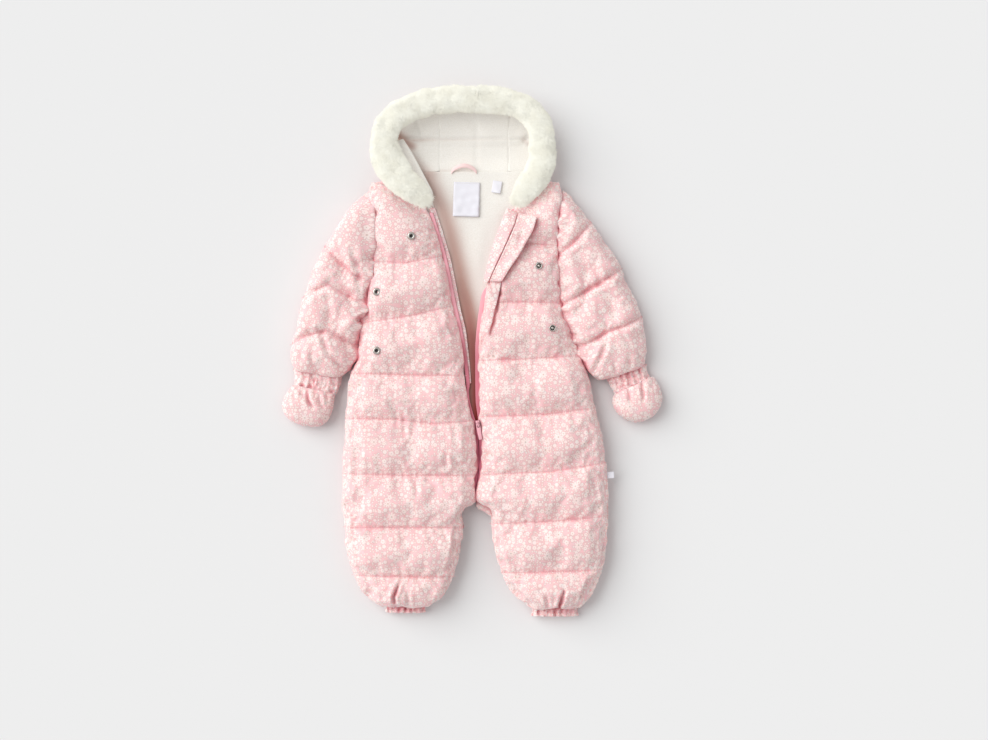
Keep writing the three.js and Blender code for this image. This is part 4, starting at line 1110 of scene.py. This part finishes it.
# The left tape's ends go on under the flap and the fur, and its edge under the front.
left_tape = make_tape("woven_tape_left", "zip_tape_left")
reach_seam(left_tape, [(10, 88), (19, 88)], (9, 1, 1.2), 9)
reach_seam(left_tape, [(49, 181), (45, 175)], (4, -3, -3), 6)
reach_seam(left_tape, [(13.5, 10), (13, -40), (13.5, -84)], (4, 0, -0.4), 4)

# %% [markdown]
# ### Zip slider and pull tab
# Both are small die castings, dipped in enamel. Each starts as a cube. Only the tab turns on the
# slider's bridge, so it rides on a body of its own.

# %% Slider and tab
SLIDER_AT = (7.6, -91, 20.5)
SLIDER_YAW = 0.17
TAB_HEIGHT = 5.2
ENAMEL_ROUND = 0.35


def block(name, size, centre):
    """A cube of that size, mm, left in edit mode with everything selected."""
    bpy.ops.object.select_all(action="DESELECT")
    bpy.ops.mesh.primitive_cube_add(size=1)
    piece = bpy.context.object
    piece.name = piece.data.name = name
    piece.scale = [side * MM for side in size]
    piece.location = [place * MM for place in centre]
    bpy.ops.object.transform_apply(location=True, rotation=False, scale=True)
    bpy.ops.object.mode_set(mode="EDIT")
    bpy.ops.mesh.select_all(action="SELECT")
    return piece


def select_faces(piece, wanted):
    """Selects, in edit mode, the faces whose middle (x, y, z in mm) is wanted."""
    bpy.ops.mesh.select_mode(type="FACE")
    bpy.ops.object.mode_set(mode="OBJECT")
    for face in piece.data.polygons:
        face.select = bool(wanted(face.center / MM, face.normal))
    bpy.ops.object.mode_set(mode="EDIT")


def rounded(piece, width, segments=2):
    bpy.ops.object.mode_set(mode="OBJECT")
    apply_modifier(piece, "BEVEL", width=width * MM, segments=segments, limit_method="ANGLE")


def put(piece, place, turn=0):
    """Turns and moves a finished piece, and keeps its origin where it was."""
    select_only(piece)
    piece.rotation_euler = (0, 0, turn)
    piece.location = [value * MM for value in place]
    bpy.ops.object.transform_apply(location=True, rotation=True, scale=False)


def make_slider():
    body = block("slider_body", (8, 10, 3.6), (0, 0, 1.8))
    select_faces(body, lambda middle, normal: normal.y < -0.9)
    bpy.ops.transform.resize(value=(0.6, 1, 1))
    select_faces(body, lambda middle, normal: normal.z > 0.9)
    bpy.ops.mesh.inset(thickness=0.8 * MM, depth=0.3 * MM)
    rounded(body, ENAMEL_ROUND)
    bridge = block("slider_bridge", (1.6, 5.6, 1.1), (0, 0, 7.4))
    for cut in (-1.7, 1.7):
        bpy.ops.mesh.select_all(action="SELECT")
        bpy.ops.mesh.bisect(plane_co=(0, cut * MM, 0), plane_no=(0, 1, 0))
    select_faces(bridge, lambda middle, normal: normal.z < -0.9 and abs(middle.y) > 1.7)
    bpy.ops.mesh.extrude_region_move(TRANSFORM_OT_translate={"value": (0, 0, -3.2 * MM)})
    rounded(bridge, ENAMEL_ROUND)
    select_only(bridge, body)
    bpy.ops.object.join()
    put(body, SLIDER_AT, SLIDER_YAW)
    finish_piece(body, enamel, ["zip_slider"])


def make_pull_tab():
    tab = block("pull_tab_plate", (5.2, 19.8, 1.6), (0, -9.1, 0))
    for cut in (-0.8, -4.8):
        bpy.ops.mesh.select_all(action="SELECT")
        bpy.ops.mesh.bisect(plane_co=(0, cut * MM, 0), plane_no=(0, 1, 0))
    select_faces(tab, lambda middle, normal: abs(normal.z) > 0.9 and -4.8 < middle.y < -0.8)
    bpy.ops.mesh.inset(thickness=1.2 * MM, use_boundary=True)
    select_faces(tab, lambda middle, normal: abs(normal.z) > 0.9 and -4 < middle.y < -1.8
                 and abs(middle.x) < 0.5)
    bpy.ops.mesh.bridge_edge_loops()
    select_faces(tab, lambda middle, normal: normal.y < -0.9)
    bpy.ops.transform.resize(value=(0.8, 1, 0.8))
    bpy.ops.mesh.select_all(action="SELECT")
    bpy.ops.mesh.normals_make_consistent(inside=False)
    rounded(tab, ENAMEL_ROUND)
    put(tab, (SLIDER_AT[0], SLIDER_AT[1], SLIDER_AT[2] + TAB_HEIGHT), SLIDER_YAW)
    finish_piece(tab, enamel, ["zip_pull_tab"], "pull_tab")


make_slider()
make_pull_tab()
print("zip slider and pull tab made")

# %% [markdown]
# ### Snaps
# A snap is turned: its profile is extruded point by point and spun round the axis. Each snap is
# turned anew from its profile and set on the cloth wherever it stands.

# %% Snaps
SOCKET = ((0, 0.3), (1.9, 0.3), (2.2, 1.5), (2.9, 2.0), (4.0, 1.9), (4.7, 1.2), (5.0, 0.3), (4.9, -0.8))
STUD = ((0, 2.5), (1.0, 2.45), (1.5, 2.1), (1.6, 0.9), (1.9, 0.5), (2.6, 0.5), (2.9, 1.6), (3.4, 2.0),
        (4.0, 1.8),
        (4.4, 0.9), (4.5, -0.8))


def turned(name, profile):
    bpy.ops.object.select_all(action="DESELECT")
    bpy.ops.mesh.primitive_plane_add(size=MM)
    piece = bpy.context.object
    piece.name = piece.data.name = name
    bpy.ops.object.mode_set(mode="EDIT")
    bpy.ops.mesh.select_mode(type="VERT")
    bpy.ops.mesh.select_all(action="SELECT")
    bpy.ops.mesh.merge(type="CENTER")
    bpy.ops.transform.translate(value=(profile[0][0] * MM, 0, profile[0][1] * MM))
    for (from_x, from_z), (to_x, to_z) in zip(profile, profile[1:]):
        step = ((to_x - from_x) * MM, 0, (to_z - from_z) * MM)
        bpy.ops.mesh.extrude_region_move(TRANSFORM_OT_translate={"value": step})
    bpy.ops.mesh.select_all(action="SELECT")
    bpy.ops.mesh.spin(steps=28, angle=math.tau, center=(0, 0, 0), axis=(0, 0, 1))
    bpy.ops.mesh.select_all(action="SELECT")
    bpy.ops.mesh.remove_doubles(threshold=0.01 * MM)
    bpy.ops.mesh.normals_make_consistent(inside=False)
    bpy.ops.object.mode_set(mode="OBJECT")
    apply_modifier(piece, "SOLIDIFY", thickness=0.4 * MM, offset=-1)
    return piece


def height_at(piece, x, y, reach=4):
    """How high a piece stands round a place, in mm: the mean of its upper points there."""
    points = points_of(piece) / MM
    near = points[np.hypot(points[:, 0] - x, points[:, 1] - y) < reach, 2]
    return float(near[near > near.max() - 6].mean())


def make_snap(node, profile, front, x, y):
    snap = turned(node + "_metal", profile)
    put(snap, (x, y, height_at(front, x, y) + 0.4))
    finish_piece(snap, nickel, [node])
    # The hollow of a socket takes the dark spring material: the spring inside, with the hollow's shade
    # painted into its colour.
    if profile is SOCKET:
        snap.data.materials.append(spring_steel)
        for face in snap.data.polygons:
            middle = face.center / MM
            face.material_index = int(math.hypot(middle.x - x, middle.y - y) < 1.9)


right_front = bpy.data.objects["quilted_front_right"]
left_front = bpy.data.objects["quilted_front_left"]
for number, place in enumerate(((-75, 143), (-118, 74), (-118, 1)), 1):
    make_snap("snap_socket_%d" % number, SOCKET, right_front, *place)
for number, place in enumerate(((83, 106), (100, 29)), 1):
    make_snap("snap_stud_%d" % number, STUD, left_front, *place)
print("snaps set")

# %% [markdown]
# ### Labels and hang loop
# Woven satin labels, left bare, and a narrow ribbon that arches off the neck seam.

# %% Labels
def make_label(name, node, size, place, turn, wave, material, seed):
    bpy.ops.object.select_all(action="DESELECT")
    bpy.ops.mesh.primitive_grid_add(x_subdivisions=14, y_subdivisions=18, size=1)
    label = bpy.context.object
    label.name = label.data.name = name
    label.scale = (size[0] * MM, size[1] * MM, 1)
    bpy.ops.object.transform_apply(location=False, rotation=False, scale=True)
    points = points_of(label)
    flat = points / MM
    low = flat[:, 1] / size[1] + 0.5
    points[:, 2] = (wave * (1 - low) * (1 + soft_noise(flat * MM, 14, seed)) + 0.25) * MM
    move_points(label, points)
    apply_modifier(label, "SOLIDIFY", thickness=0.35 * MM, offset=1)
    put(label, place, turn)
    finish_piece(label, material, [node])
    return label


neck = make_label("neck_label_satin", "neck_label", (33, 43), (-7, 190.5, 16.9), -0.03, 0.8, satin,
                  61)
size_tag = make_label("size_label_satin", "size_label", (11.5, 15), (31, 206, 17.2), -0.16, 0.9, satin,
                      67)
side_tab = make_label("side_tab_satin", "side_tab", (10, 8), (172.8, -154.5, 16.4), 0.08, 0.3, satin,
                      71)

loop = thin_cloth("hang_loop_ribbon", "hang_loop", 2, 2)
finish_piece(loop, ribbon, ["hang_loop"])

# %% [markdown]
# ### Stitches
# One stitch is made, and its points are repeated along the quilting lines, the flap, the zip facing
# and the neck label, as one mesh for each garment piece. Each stitch lies on the cloth below it.

# %% Stitches
thread = new_material("polyester_thread", 0xF0C2C4, 0.55)[0]
white_thread = new_material("white_polyester_thread", 0xE9E6E4, 0.55)[0]


def sewn(name, piece, lines, material, pitch=3.0, length=2.1, width=0.45):
    one = block("stitch", (length, width, 0.4), (0, 0, 0))
    rounded(one, 0.12, 1)
    shape = points_of(one)
    faces = [tuple(face.vertices) for face in one.data.polygons]
    bpy.data.objects.remove(one)
    cloth_points = points_of(piece)[normals_of(piece)[:, 2] > 0.1] / MM
    placed, all_faces = [], []
    for line in lines:
        line = np.array(line, float)
        for start, end in zip(line[:-1], line[1:]):
            span = end - start
            long = np.linalg.norm(span)
            count = max(1, int(round(long / pitch)))
            direction = span / long
            for k in range(count):
                x, y = start + span * (k + 0.5) / count
                near = cloth_points[np.hypot(cloth_points[:, 0] - x, cloth_points[:, 1] - y) < 2.4, 2]
                if not len(near):
                    continue
                turned_shape = np.stack([shape[:, 0] * direction[0] - shape[:, 1] * direction[1],
                                         shape[:, 0] * direction[1] + shape[:, 1] * direction[0],
                                         shape[:, 2]], axis=1)
                first = len(placed) * len(shape)
                placed.append(turned_shape + np.array([x, y, near.mean() + 0.25]) * MM)
                all_faces += [[first + corner for corner in face] for face in faces]
    mesh = bpy.data.meshes.new(name)
    mesh.from_pydata(np.concatenate(placed), [], all_faces)
    stitches = bpy.data.objects.new(name, mesh)
    scene.collection.objects.link(stitches)
    finish_piece(stitches, material, [])
    return stitches


piece_of = bpy.data.objects
sewn("stitches_front_right", piece_of["quilted_front_right"], RIGHT_LINES, thread)
sewn("stitches_front_left", piece_of["quilted_front_left"], LEFT_LINES, thread)
sewn("stitches_sleeve_right", piece_of["quilted_sleeve_right"], RIGHT_SLEEVE_LINES, thread)
sewn("stitches_sleeve_left", piece_of["quilted_sleeve_left"], LEFT_SLEEVE_LINES, thread)
FLAP_OUTER = [(79, 164), (73.5, 149), (65.5, 135), (55.5, 117), (43.5, 100.5), (36, 89)]
FLAP_INNER = [(60, 171), (56, 157), (49, 141), (40, 121), (31, 103), (23.5, 89)]
sewn("stitches_flap", piece_of["folded_flap"], [FLAP_OUTER, FLAP_INNER], thread)
FACING_SEAM = [(55.5, 171), (51.5, 157), (44.5, 141), (35.8, 121), (26.6, 102.5), (19.4, 87)]
sewn("stitches_zip_facing", piece_of["zip_facing_strip"], [FACING_SEAM], thread)
sewn("stitches_neck_label", neck, [[(-22.5, 211), (9.3, 210)]], white_thread, 2.2, 1.5, 0.3)
print("stitches done")
